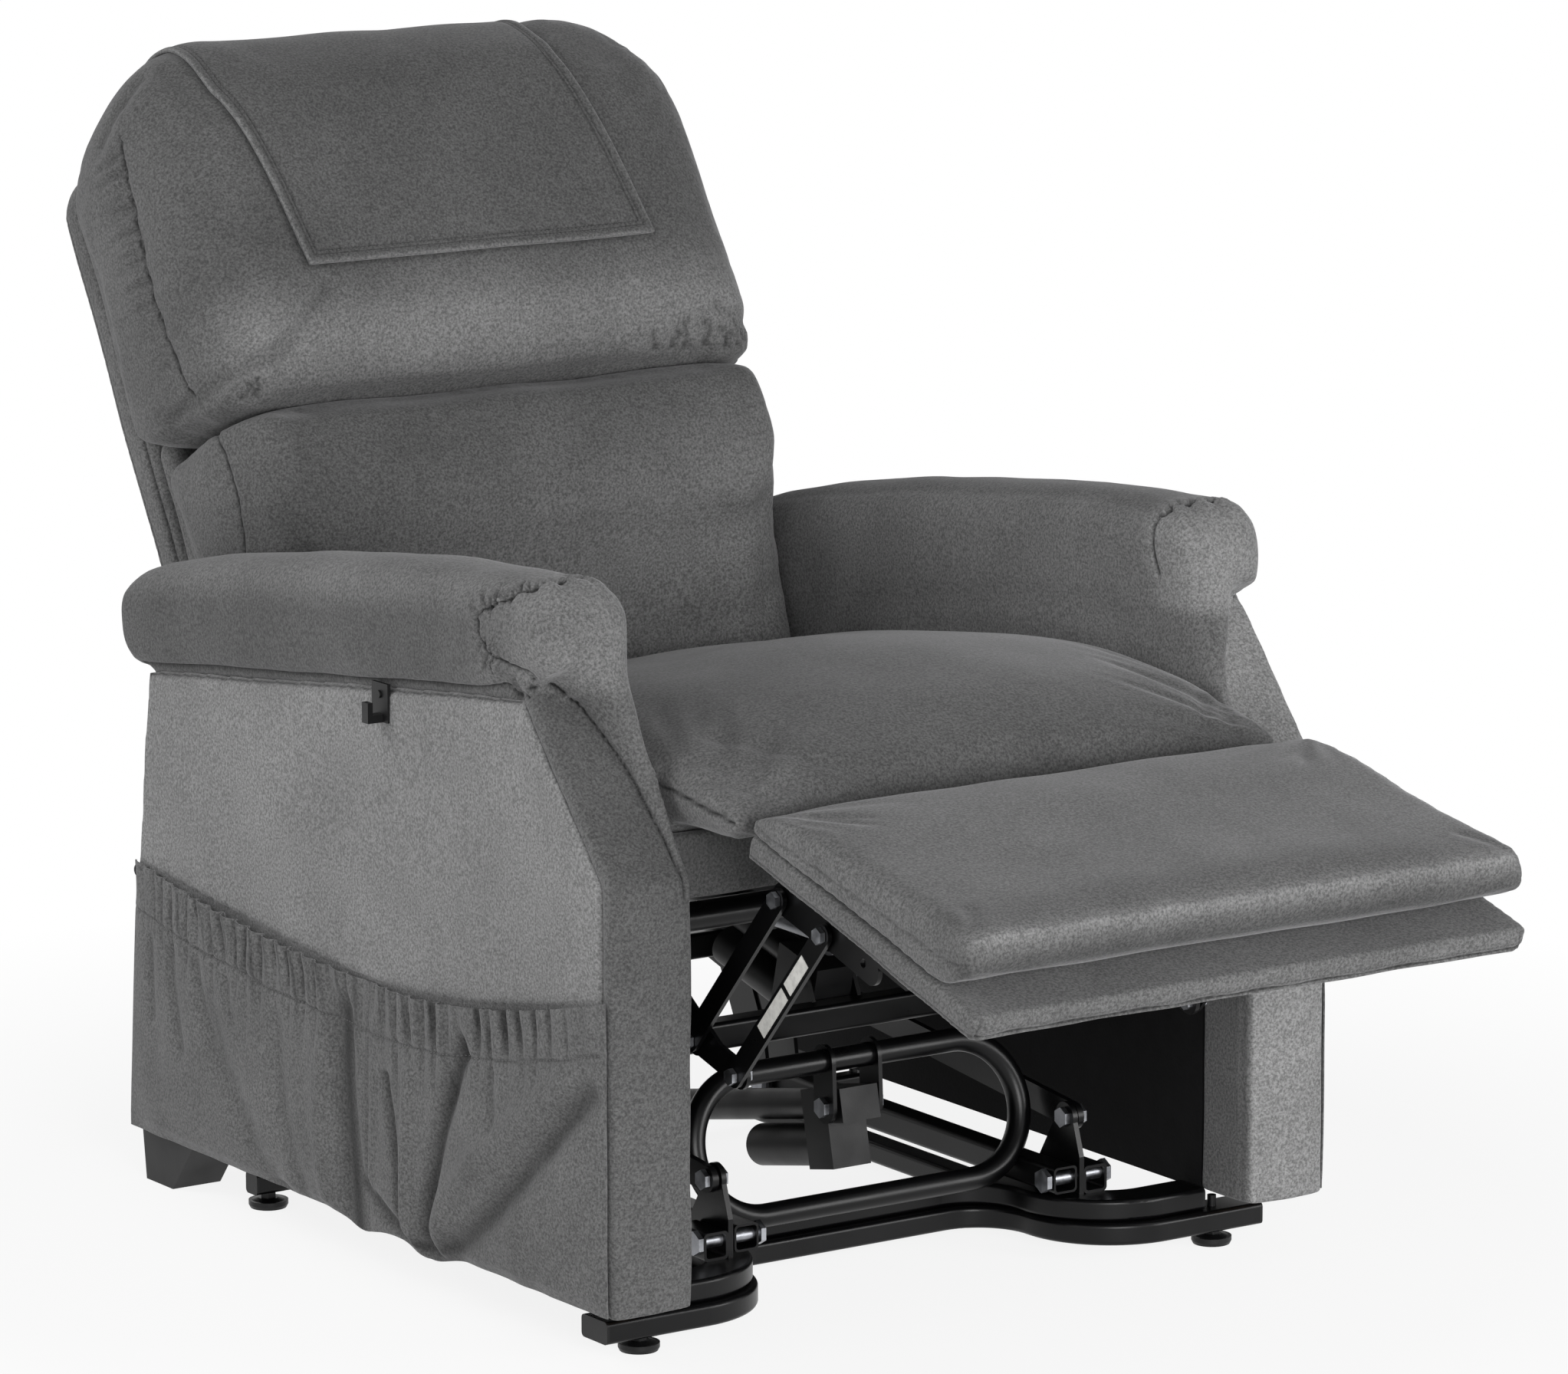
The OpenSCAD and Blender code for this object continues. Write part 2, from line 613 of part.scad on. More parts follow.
board_skin = 67;
module footrest_board() color(cloth_grey) placed() on_board()
  translate([-board_w / 2, 2 - board_len, board_skin - board_t]) cube([board_w, board_len - 2, board_t]);

pad_end = board_len - 20;
pad_profile = smoothed([[-2, 74], [-1, 88], [-30, 101], [-90, 109], [-190, 115], [-pad_end + 40, 124],
  [-pad_end + 13, 130], [-pad_end + 2, 120], [-pad_end, 104], [-pad_end + 14, 84], [-pad_end + 40, 69.4],
  [-140, 68.6], [-20, 68.6]], 2);
module footrest_pad() color(cloth_grey) placed() on_board()
  cushion(pad_profile, [-pad_end / 2, 96], [pad_end / 2, 30], board_w / 2 + 4, 14, 12);

// ---------- backrest ----------
back_plane = 122;
upright_x = rail_out - 42;
module back_frame() color(steel_black) placed() on_back() {
  translate([-upright_x - 25, 57, 20]) rotate([90, 0, 90])
    linear_extrude(2 * upright_x + 50) tube_ring(24, 24, 1.5);
  rod = recline_rod_pin - recline_pivot;
  local = [rod[0] * cos(back_lean) - rod[1] * sin(back_lean),
    rod[0] * sin(back_lean) + rod[1] * cos(back_lean)];
  for (s = [-1, 1]) difference() {
    from_side(recline_x + s * 12 - 2, 4) bar(local, [57, 20], 24);
    pin(local, actuator_pin_d / 2 + play, 20, 80);
    translate([0, 57 - 11, 9]) cube([100, 22, 22]);
  }
  back_hinges();
}

back_board_h = 268;
back_board_half = upright_x - 30;
module back_board() color(timber) placed() on_back()
  translate([-back_board_half, 48, 33]) cube([2 * back_board_half, 21, back_board_h]);

module back_hinges() both_sides() difference() {
  from_side(upright_x + 25, 4) {
    circle(15);
    polygon([[0, -15], [69, -15], [69, 120], [46, 120], [46, 15], [0, 15]]);
  }
  pin([0, 0], 5 + play, upright_x + 20, upright_x + 40);
}

module recline_brackets() color(steel_black) placed() both_sides() difference() {
  from_side(rail_out - 23.5, 4) {
    polygon([[560, 330 + rise], [560, rail_top - 43], [seat_y[1] + 1, rail_top - 43],
      [seat_y[1] + 1, rail_top - 18], [recline_pivot[0] - 12, rail_top - 18],
      [recline_pivot[0] + 4, recline_pivot[1] - 14], [630, 330 + rise]]);
    translate(recline_pivot) circle(15);
  }
  pin(recline_pivot, 5 + play, rail_out - 30, rail_out - 10);
}

module back_shell() color(cloth_grey) placed() on_back() translate([0, back_plane, 0]) rotate([90, 0, 0])
  linear_extrude(shell_t) translate([0, (shell_len + 40) / 2]) rounded(shell_w, shell_len - 40, 40);

lumbar_profile = smoothed([[40, 24], [43, 120], [43, 240], [40, 296], [0, 306], [-80, 304], [-128, 298],
  [-142, 280], [-142, 220], [-122, 175], [-98, 140], [-62, 80], [-42, 34], [-20, 20]], 2);
module lumbar_cushion() color(cloth_grey) placed() on_back()
  cushion(lumbar_profile, [-30, 165], [90, 145], min(head_w / 2 - 16, seat_half - 4), 20);

head_profile = smoothed([[66, 345], [68, 480], [64, 600], [46, 652], [0, 680], [-48, 684], [-84, 664],
  [-112, 610], [-130, 520], [-138, 440], [-143, 370], [-130, 330], [-80, 311], [0, 309], [44, 318]], 2);
module head_cushion() color(cloth_grey) placed() on_back()
  cushion(head_profile, [-36, 495], [104, 188], head_w / 2, 34, corner = 130);

// Part of the head cushion's side profile that the cloth covers, from the front hem over the top
cloth_from = 3;
cloth_to = 19;
function outward(p, i, d) = let (n = len(p), t = p[(i + 1) % n] - p[(i + n - 1) % n])
  p[i] + d * [t[1], -t[0]] / norm(t);
module head_cloth() color(cloth_grey) placed() on_back() cloth(
  [for (x = [4:-1:-4]) [for (i = [cloth_from:cloth_to]) let (q = outward(head_profile, i, 2.2))
    [x * cloth_w / 8, q[0], q[1]]]],
  [for (x = [4:-1:-4]) [for (i = [cloth_from:cloth_to]) let (q = outward(head_profile, i, 0.5))
    [x * cloth_w / 8, q[0], q[1]]]]);

// ---------- arms ----------
facing_t = 16;
skin_t = 4;
panel_t = 12;
rear_foot = [panel_depth, panel_bottom];
rear_mid = [panel_depth - 20, 305];
rear_top = [panel_depth - 43, arm_rear_h + rise];
front_top = [121, arm_front_h + rise];
front_low = [0, front_edge_top + rise];
wrap = 72;
back = [facing_t, 0];
// The inner side of an arm is cloth above this height, out of sight beside the seat cushion
cloth_low = 446 + rise;
cloth_rear = rear_mid + (rear_top - rear_mid) * (cloth_low - rear_mid[1]) / (rear_top[1] - rear_mid[1]);
top_fall = (rear_top[1] - front_top[1]) / (rear_top[0] - front_top[0]);
function top_line(y) = front_top[1] + top_fall * (y - front_top[0]);

module arm_panel() {
  from_side(half_w - panel_t, panel_t) polygon([[facing_t, panel_bottom], front_low + back,
    [front_top[0] + facing_t, top_line(front_top[0] + facing_t)], rear_top, rear_mid, rear_foot]);
  from_side(arm_in + skin_t, arm_w - skin_t - panel_t) polygon([rear_top, rear_mid, rear_foot,
    rear_foot - [12, 0], rear_mid - [12, 0], [rear_top[0] - 12, top_line(rear_top[0] - 12)]]);
}
module arm_panel_right() color(cloth_grey) placed() arm_panel();
module arm_panel_left() color(cloth_grey) placed() mirror([1, 0, 0]) arm_panel();

module arm_facings() color(cloth_grey) placed() both_sides() {
  from_side(arm_in, arm_w) polygon([[0, panel_bottom], front_low, front_top,
    [front_top[0] + facing_t, top_line(front_top[0] + facing_t)], front_low + back,
    [facing_t, panel_bottom]]);
  from_side(arm_in, skin_t) polygon([[facing_t, panel_bottom], front_low + back,
    [front_top[0] + facing_t, top_line(front_top[0] + facing_t)], rear_top, cloth_rear,
    [wrap, cloth_low], [wrap, panel_bottom]]);
}

module arm_linings() color(lining_black) placed() both_sides() from_side(arm_in, skin_t) polygon([
  [wrap, panel_bottom], [wrap, cloth_low], cloth_rear, rear_mid, rear_foot]);

module arm_timbers() color(timber) placed() both_sides() {
  from_side(arm_in + skin_t, arm_w - skin_t - panel_t) {
    y0 = front_top[0] + facing_t;
    y1 = rear_top[0] - 12;
    polygon([[y0, top_line(y0) - 3], [y1, top_line(y1) - 3], [y1, top_line(y1) - 23],
      [y0, top_line(y0) - 23]]);
  }
  from_side(arm_in + skin_t + 3, arm_w - skin_t - panel_t - 6) {
    polygon([[facing_t, 60], [facing_t, front_low[1]], [56, front_low[1]], [56, 60]]);
    polygon([[rear_mid[0] - 60, 60], [rear_mid[0] - 60, 440 + rise], [rear_mid[0] - 34, 440 + rise],
      [rear_mid[0] - 14, 305], [rear_mid[0] - 6, 60]]);
  }
  for (y = [120, 500]) translate([rail_out, y, rail_top - 43]) cube([10, 60, 40]);
}

// Arm pad sections: [depth, underside, top]
function pad_rows() = [[54, 622, 636], [59, 607, 645], [70, 592, 651], [92, 574.5, 656],
  [124, 562.6, 658], [200, 553, 656.5], [290, 542, 652], [400, 528.6, 640], [544, 511, 621],
  [680, 494.5, 598], [760, 484.6, 580], [788, 494, 571], [801, 510, 562], [806, 526, 553]];
pad_half = 50;
function arm_pad_ring(r, end) = let (low = r[1] + rise, top = r[2] + rise + (arm_pad_h - 96) * end,
  mid = (low + top) / 2, tall = (top - low) / 2)
  [for (a = [0:18:342]) let (c = cos(a), s = sin(a), k = s < 0 ? 0.45 : 0.75)
    [half_w - arm_w / 2 + 1 + pad_half * sign(c) * pow(abs(c), k) * (0.86 + 0.14 * end), r[0],
      mid + tall * sign(s) * pow(abs(s), k)]];
module arm_pad() {
  rows = pad_rows();
  skin([for (i = [len(rows) - 1:-1:0]) arm_pad_ring([rows[i][0] + (rows[i][0] > 400 ? back_shift : 0),
    rows[i][1], rows[i][2]], i == 0 || i == len(rows) - 1 ? 0.2 : i == 1 || i == len(rows) - 2 ? 0.7 : 1)]);
}
module arm_pad_right() color(cloth_grey) placed() arm_pad();
module arm_pad_left() color(cloth_grey) placed() mirror([1, 0, 0]) arm_pad();

// ---------- side pockets ----------
pocket_split = 387;
cloth_t = 2.4;
function pocket_top(y) = y < 392 ? 270 + 54 * pow((392 - y) / 388, 1.9)
  : 270 + 34 * pow((y - 392) / 406, 1.2);
// Share of the bulge left at the seams beside and between the pockets
pocket_seam = 0.04;
function pocket_sag(y) = 12 * exp(-pow((y - 370) / 110, 2));
function pocket_swell(y, end) = let (a = y < pocket_split ? (y - 5) / (pocket_split - 5)
  : (y - pocket_split) / (end - pocket_split)) max(pocket_seam, pow(max(0, sin(180 * a)), 0.6));
pocket_rise = [0, 0.05, 0.16, 0.34, 0.56, 0.78, 0.93, 1];
pocket_depth = [0, 0.62, 0.95, 1, 0.9, 0.72, 0.62, 0.66];
pocket_droop = [0, 1.6, 1.2, 0.6, 0, 0, 0, 0];
pocket_face = [[0, -1], [0.7, -0.7], [1, -0.2], [1, 0], [1, 0], [1, 0], [1, 0], [1, 0]];
rear_edge_lean = 20 / 255;
function pocket_point(i, j, columns, off) = let (end = panel_depth - 4,
  y0 = 5 + (end - 5) * i / columns, top = pocket_top(y0),
  drop = pocket_sag(y0) * pocket_droop[j],
  z = panel_bottom + 3 + (top - panel_bottom - 3) * pocket_rise[j] - drop + off * pocket_face[j][1])
  [half_w + off * pocket_face[j][0] + pocket_bulge * pocket_depth[j] * pocket_swell(y0, end),
    5 + (end - 5 - (z - panel_bottom) * rear_edge_lean) * i / columns, z];
pocket_columns = 26;
module pocket() cloth(
  [for (i = [pocket_columns:-1:0]) [for (j = [0:7]) pocket_point(i, j, pocket_columns, cloth_t)]],
  [for (i = [pocket_columns:-1:0]) [for (j = [0:7]) pocket_point(i, j, pocket_columns, 0)]]);
module pocket_right() color(cloth_grey) placed() pocket();
module pocket_left() color(cloth_grey) placed() mirror([1, 0, 0]) pocket();

// ---------- small parts ----------
module handset_hook() color(plastic_black) placed() translate([-half_w, 358, 518 + rise]) {
  translate([-3, -13, -14]) cube([3, 26, 34]);
  translate([-14, -5, -14]) cube([11, 10, 7]);
  translate([-18, -5, -14]) cube([5, 10, 18]);
  translate([-3, 0, 10]) rotate([0, -90, 0]) cylinder(r = 3.5, h = 2);
}

module rear_legs() color(plastic_black) placed() both_sides() from_side(arm_in + 20, 50) polygon([
  [717 + back_shift, panel_bottom], [812 + back_shift, panel_bottom], [806 + back_shift, 0],
  [758 + back_shift, 0]]);

base_front_tube();
lift_frame_tube();
base_side_rails();
base_rear_tube();
tube_end_caps();
pivot_brackets();
base_pins();
foot_front_left();
foot_front_right();
foot_rear_left();
foot_rear_right();
lift_hoop();
lift_arms();
hoop_pin();
stabiliser_links();
lift_motor();
lift_rod();
chassis_plates();
chassis_cross_tubes();
lift_forks();
chassis_pins();
control_box();
legrest_motor();
legrest_rod();
recline_motor();
recline_rod();
seat_side_rails();
seat_cross_rails();
seat_webbing();
seat_front_board();
seat_cushion();
torque_tube();
crank_plates();
crank_pins();
legrest_links_long();
legrest_links_rear();
legrest_control_links();
footrest_brackets();
footrest_pins();
footrest_board();
footrest_pad();
back_frame();
back_board();
recline_brackets();
back_shell();
lumbar_cushion();
head_cushion();
head_cloth();
arm_panel_left();
arm_panel_right();
arm_facings();
arm_linings();
arm_timbers();
arm_pad_left();
arm_pad_right();
pocket_left();
pocket_right();
handset_hook();
rear_legs();
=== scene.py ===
"""Lift recliner chair: upholstery, finishes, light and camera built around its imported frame.

Lengths are in millimetres until place() turns them into the metres of the model's frame. Points are
given as across, back from the arm fronts, and up.
"""
import math

import bmesh
import bpy
import numpy as np
from bpy.props import FloatProperty, FloatVectorProperty, IntProperty, PointerProperty
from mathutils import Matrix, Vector, kdtree
from mathutils import noise as wander
from mathutils.bvhtree import BVHTree


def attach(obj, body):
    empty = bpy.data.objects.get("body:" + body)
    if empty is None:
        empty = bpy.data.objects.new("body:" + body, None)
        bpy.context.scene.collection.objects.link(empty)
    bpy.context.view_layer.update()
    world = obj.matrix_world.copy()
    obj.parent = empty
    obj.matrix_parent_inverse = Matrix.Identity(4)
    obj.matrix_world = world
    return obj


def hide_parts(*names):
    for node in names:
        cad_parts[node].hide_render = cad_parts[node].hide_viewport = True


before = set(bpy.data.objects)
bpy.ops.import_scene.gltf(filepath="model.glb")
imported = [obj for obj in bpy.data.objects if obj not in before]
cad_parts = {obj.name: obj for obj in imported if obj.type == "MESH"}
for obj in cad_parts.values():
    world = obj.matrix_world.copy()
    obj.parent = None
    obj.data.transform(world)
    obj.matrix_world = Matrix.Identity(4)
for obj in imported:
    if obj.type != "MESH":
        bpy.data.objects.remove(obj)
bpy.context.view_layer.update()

bl_info = {
    "name": "Lift recliner chair",
    "version": (1, 0, 0),
    "blender": (4, 5, 0),
    "location": "3D View > Sidebar > Recliner",
    "description": "Upholsters a powered recliner around its steel and timber frame",
    "category": "Object",
}

MM = 0.001
# Depth is measured from the front of the arms; the origin lies this far behind it
DEPTH_ORIGIN = 361.9645
BACK_PIVOT = (715.0, 395.0)
BACK_LEAN = math.radians(28.4)
BOARD_PIN = (-51.0, 405.0)
BOARD_SLOPE = math.radians(16.2)
PANEL_DEPTH = 812.0
HALF_W = 375.0
ARM_IN = 293.0
ARM_MID = 335.0
SIDES = (-1, 1)
# Most triangles of a piece, and of one that is flat and mostly hidden or plain
MOST_TRIANGLES, FLAT_TRIANGLES, HIDDEN_TRIANGLES = 155_000, 90_000, 40_000


def linear(code):
    """sRGB hex to the linear colour that shaders use."""
    parts = [int(code[i:i + 2], 16) / 255 for i in (1, 3, 5)]
    return tuple(c / 12.92 if c <= 0.04045 else ((c + 0.055) / 1.055) ** 2.4 for c in parts) + (1.0,)


# ---------- settings ----------
def length(name, description, default_mm, low_mm, high_mm):
    return FloatProperty(name=name, description=description, default=default_mm * MM, min=low_mm * MM,
                         max=high_mm * MM, unit="LENGTH", precision=4)


def colour(name, description, code):
    return FloatVectorProperty(name=name, description=description, default=linear(code)[:3], size=3,
                               min=0.0, max=1.0, subtype="COLOR")


class ReclinerSizes(bpy.types.PropertyGroup):
    """Upholstery sizes that a user would change."""
    seat_crown: length("Seat crown", "Rise of the seat's middle over its sides", 34, 0, 50)
    cushion_swell: length("Cushion swell", "Furthest the filling may push a cover outwards", 8, 0, 20)
    seam_depth: length("Seam depth", "Depth of the groove that a seam pulls into a cushion", 3, 0, 6)
    pleat_depth: length("Pleat depth", "Depth of the small pleats beside gathered seams", 2.6, 0, 5)
    ruffle_depth: length("Ruffle depth", "Depth of the gathers in the pocket casing", 4.5, 0, 7)
    ruffle_spacing: length("Ruffle spacing", "Distance between gathers along the pocket edge", 23, 10, 40)
    headcloth_width: length("Headrest cloth width", "Width of the cloth over the head cushion",
                            372, 240, 420)
    stitch_spacing: length("Stitch spacing", "Distance from one stitch to the next", 4.2, 2, 8)
    stitch_length: length("Stitch length", "Visible length of one stitch", 2.9, 1, 6)
    thread_size: length("Thread size", "Thickness of the sewing thread as drawn", 0.9, 0.3, 1.5)
    fill_steps: IntProperty(name="Filling steps", default=16, min=4, max=30,
                            description="Frames of simulated filling for each cushion")


class ReclinerColours(bpy.types.PropertyGroup):
    """Colours that a user would change."""
    cloth_deep: colour("Cloth, deep", "Colour between the tufts of the pile", "#505050")
    cloth_pale: colour("Cloth, pale", "Colour on the tips of the pile", "#767676")
    thread: colour("Thread", "Sewing thread", "#5e5e5e")
    lining: colour("Lining", "Lining cloth under the seat and inside the arms", "#0c0c0d")
    steel: colour("Frame", "Powder coat on the steel", "#070708")
    plastic: colour("Plastic", "Feet, caps, motors and hook", "#0c0c0d")
    zinc: colour("Fasteners", "Zinc plate on pins and rods", "#a9abb0")
    timber: colour("Timber", "Planed beech", "#c09c70")
    floor: colour("Floor", "Studio floor", "#f4f4f4")


def size(name):
    """A size from the panel, in millimetres."""
    return getattr(bpy.context.scene.recliner_sizes, name) / MM


def tint(name, by=1.0):
    """A colour from the panel, made lighter or darker."""
    return tuple(min(1.0, c * by) for c in getattr(bpy.context.scene.recliner_colours, name)) + (1.0,)


# ---------- places ----------
def place(points):
    """Millimetres from the arm fronts to metres in the model's frame."""
    p = np.asarray(points, float).copy()
    p[:, 1] -= DEPTH_ORIGIN
    return p * MM


def unplaced(obj):
    """An object's points in millimetres from the arm fronts."""
    p = coords(obj) / MM
    p[:, 1] += DEPTH_ORIGIN
    return p


def turned(points, pivot, angle):
    """Points in a frame whose origin is a hinge and whose last two axes are turned by an angle."""
    p = np.asarray(points, float)
    c, s = math.cos(angle), math.sin(angle)
    return np.column_stack([p[:, 0], pivot[0] + p[:, 1] * c - p[:, 2] * s,
                            pivot[1] + p[:, 1] * s + p[:, 2] * c])


def on_back(points):
    """Across, back through the thickness and up the backrest, placed."""
    return place(turned(points, BACK_PIVOT, -BACK_LEAN))


def on_board(points):
    """Across, back along the footrest and away from its face, placed."""
    return place(turned(points, BOARD_PIN, BOARD_SLOPE))


def both_sides(frame_of, x, side):
    """A line drawn in the side view, at the left and at the right of a cushion."""
    return [frame_of([(s * x, y, z) for y, z in side]) for s in SIDES]


# ---------- meshes ----------
def linked(name, data):
    obj = bpy.data.objects.new(name, data)
    bpy.context.scene.collection.objects.link(obj)
    return obj


def mesh_object(name, verts, faces, edges=(), smooth=True):
    mesh = bpy.data.meshes.new(name)
    mesh.from_pydata([tuple(v) for v in verts], edges, faces)
    mesh.update()
    if smooth and faces:
        mesh.shade_smooth()
    return linked(name, mesh)


def tidy(obj, distance=1e-6):
    """Merges doubles and turns every face outwards."""
    bm = bmesh.new()
    bm.from_mesh(obj.data)
    bmesh.ops.remove_doubles(bm, verts=bm.verts, dist=distance)
    bmesh.ops.recalc_face_normals(bm, faces=bm.faces)
    bm.to_mesh(obj.data)
    bm.free()
    obj.data.update()
    return obj


def loft(name, rings):
    """Skin through closed rings of equal length, with a fan at each end."""
    n, m = len(rings), len(rings[0])
    verts = [tuple(p) for ring in rings for p in ring]
    faces = [(i * m + j, i * m + (j + 1) % m, (i + 1) * m + (j + 1) % m, (i + 1) * m + j)
             for i in range(n - 1) for j in range(m)]
    for base, flip in ((0, True), ((n - 1) * m, False)):
        verts.append(tuple(np.mean(verts[base:base + m], axis=0)))
        for j in range(m):
            a, b = base + j, base + (j + 1) % m
            faces.append((b, a, len(verts) - 1) if flip else (a, b, len(verts) - 1))
    return tidy(mesh_object(name, verts, faces))


def rounded_slab(name, outline, thickness, radius, frame_of, segments=3):
    """Flat panel cut to an outline in the side view, with rounded edges."""
    bm = bmesh.new()
    low, high = thickness
    face = bm.faces.new([bm.verts.new((low, y, z)) for y, z in outline])
    made = bmesh.ops.extrude_face_region(bm, geom=[face])
    for v in (g for g in made["geom"] if isinstance(g, bmesh.types.BMVert)):
        v.co.x = high
    bmesh.ops.recalc_face_normals(bm, faces=bm.faces)
    rim = [e for e in bm.edges if abs(e.verts[0].co.x - e.verts[1].co.x) < 1e-6]
    bmesh.ops.bevel(bm, geom=rim, offset=radius, segments=segments, profile=0.5, affect="EDGES",
                    clamp_overlap=True)
    bmesh.ops.triangulate(bm, faces=[f for f in bm.faces if len(f.verts) > 4])
    mesh = bpy.data.meshes.new(name)
    bm.to_mesh(mesh)
    bm.free()
    obj = linked(name, mesh)
    set_coords(obj, frame_of(coords(obj)))
    obj.data.shade_smooth()
    return tidy(obj)


def sheet_mesh(name, grid, thickness):
    """Cloth of a given thickness through a grid of points."""
    n, m = len(grid), len(grid[0])
    faces = [(i * m + j, (i + 1) * m + j, (i + 1) * m + j + 1, i * m + j + 1)
             for i in range(n - 1) for j in range(m - 1)]
    obj = mesh_object(name, [p for row in grid for p in row], faces)
    return tidy(modified(obj, "SOLIDIFY", thickness=thickness * MM, offset=0))


def joined(objects):
    """One object from several, with the first one's name."""
    bm = bmesh.new()
    for o in objects:
        bm.from_mesh(o.data)
    bm.to_mesh(objects[0].data)
    bm.free()
    for o in objects[1:]:
        bpy.data.objects.remove(o)
    return objects[0]


def coords(obj):
    flat = np.empty(len(obj.data.vertices) * 3)
    obj.data.vertices.foreach_get("co", flat)
    return flat.reshape(-1, 3)


def normals(obj):
    flat = np.empty(len(obj.data.vertices) * 3, np.float32)
    obj.data.vertex_normals.foreach_get("vector", flat)
    return flat.reshape(-1, 3).astype(float)


def set_coords(obj, points):
    obj.data.vertices.foreach_set("co", np.asarray(points, float).ravel())
    obj.data.update()


def finish_modifiers(obj):
    """Replaces an object's mesh by the one its modifiers make, and removes them."""
    graph = bpy.context.evaluated_depsgraph_get()
    made = bpy.data.meshes.new_from_object(obj.evaluated_get(graph), depsgraph=graph)
    old = obj.data
    obj.modifiers.clear()
    obj.data = made
    bpy.data.meshes.remove(old)
    obj.data.shade_smooth()
    return obj


def modified(obj, kind, **settings):
    """Applies one modifier with the given settings."""
    mod = obj.modifiers.new(kind.lower(), kind)
    for key, value in settings.items():
        setattr(mod, key, value)
    return finish_modifiers(obj)


def subdivided(obj):
    return modified(obj, "SUBSURF", levels=1, render_levels=1)


def evenly(obj, voxel):
    return modified(obj, "REMESH", mode="VOXEL", voxel_size=voxel * MM, use_smooth_shade=True)


def thinned(obj, most):
    """Merges the flattest faces of a piece until it has no more than the given number of triangles."""
    count = sum(len(face.vertices) - 2 for face in obj.data.polygons)
    if count > most:
        modified(obj, "DECIMATE", ratio=most / count)


def melted(obj, weight, rounds):
    """Evens out a mesh where the weight is above zero, as a cover bridges the joint of two pads."""
    edges = np.empty(len(obj.data.edges) * 2, int)
    obj.data.edges.foreach_get("vertices", edges)
    a, b = edges.reshape(-1, 2).T
    p = coords(obj)
    count = np.bincount(a, minlength=len(p)) + np.bincount(b, minlength=len(p))
    for _ in range(rounds):
        total = np.zeros_like(p)
        np.add.at(total, a, p[b])
        np.add.at(total, b, p[a])
        p += (total / count[:, None] - p) * (0.6 * weight)[:, None]
    set_coords(obj, p)


def point_layer(obj, name):
    """A float attribute on an object's points, made if it isn't there yet."""
    return obj.data.attributes.get(name) or obj.data.attributes.new(name, "FLOAT", "POINT")


# ---------- lines on cloth ----------
def smooth_step(a, b, v):
    t = np.clip((np.asarray(v, float) - a) / (b - a), 0, 1)
    return t * t * (3 - 2 * t)


def bell(distance, width):
    """1 on a line, falling away over about the given width."""
    return np.exp(-(distance / width) ** 2)


def between(a, b, c, d, count):
    """Points from b towards c on a smooth line that comes from a and goes on to d."""
    for t in np.arange(count) / count:
        yield 0.5 * (2 * b + (c - a) * t + (2 * a - 5 * b + 4 * c - d) * t * t
                     + (3 * b - a - 3 * c + d) * t ** 3)


def spline(points, step):
    """Points every few units along a smooth line through the given ones."""
    p = np.asarray(points, float)
    padded = np.vstack([2 * p[0] - p[1], p, 2 * p[-1] - p[-2]])
    out = []
    for i in range(len(p) - 1):
        count = max(2, int(np.linalg.norm(padded[i + 2] - padded[i + 1]) / step))
        out.extend(between(*padded[i:i + 4], count))
    return np.array(out + [p[-1]])


def closed_curve(points, count):
    """Smooth closed line with the given number of points on each stretch."""
    p = np.asarray(points, float)
    n = len(p)
    return np.array([q for i in range(n)
                     for q in between(p[i - 1], p[i], p[(i + 1) % n], p[(i + 2) % n], count)])


def cloth_tree(obj):
    bm = bmesh.new()
    bm.from_mesh(obj.data)
    tree = BVHTree.FromBMesh(bm)
    bm.free()
    return tree


def laid_on(obj, line, lift=0.0, step=1.5):
    """A line in metres, made dense and laid on an object's surface."""
    tree = cloth_tree(obj)
    out = []
    for p in spline(line, step * MM):
        hit = tree.find_nearest(Vector(p))
        out.append(hit[0] + hit[1] * lift * MM)
    return np.array(out)


def near(points, line, reach):
    """Distance of each point from a dense line, capped at reach, and the line's nearest index."""
    tree = kdtree.KDTree(len(line))
    for i, p in enumerate(line):
        tree.insert(p, i)
    tree.balance()
    low, high = line.min(0) - reach, line.max(0) + reach
    distance = np.full(len(points), reach)
    index = np.zeros(len(points), int)
    for i in np.nonzero(((points > low) & (points < high)).all(1))[0]:
        _, j, d = tree.find(points[i])
        if d < reach:
            distance[i], index[i] = d, j
    return distance, index


def shaded(obj, tone):
    """Raises the attribute that paints shade into the cloth material at seams, deep folds and edges."""
    layer = point_layer(obj, "seam")
    before = np.zeros(len(obj.data.vertices), np.float32)
    layer.data.foreach_get("value", before)
    layer.data.foreach_set("value", np.maximum(before, tone).astype(np.float32))


def paint_light_and_shade(obj, lay):
    """Sets how much painted light (above zero) or painted shade (below) lightens or darkens each point of
    a cover.
    """
    point_layer(obj, "lay").data.foreach_set(
        "value", np.broadcast_to(lay, len(obj.data.vertices)).astype(np.float32))


def groove(obj, lines, depth, width, shade=0.0):
    """Presses valleys into a cover along placed lines (ridges where depth is below zero), and darkens
    them by shade."""
    for line in lines:
        on = laid_on(obj, line)
        points, out = coords(obj), normals(obj)
        d, _ = near(points, on, 3 * width * MM)
        pull = bell(d, width * MM) * (d < 3 * width * MM)
        set_coords(obj, points - out * (depth * MM * pull)[:, None])
        if shade:
            shaded(obj, shade * bell(d, 0.55 * width * MM))


def sewn(obj, lines, width=3.2):
    # seams get full painted shade in their grooves
    groove(obj, lines, size("seam_depth"), width, 1.0)


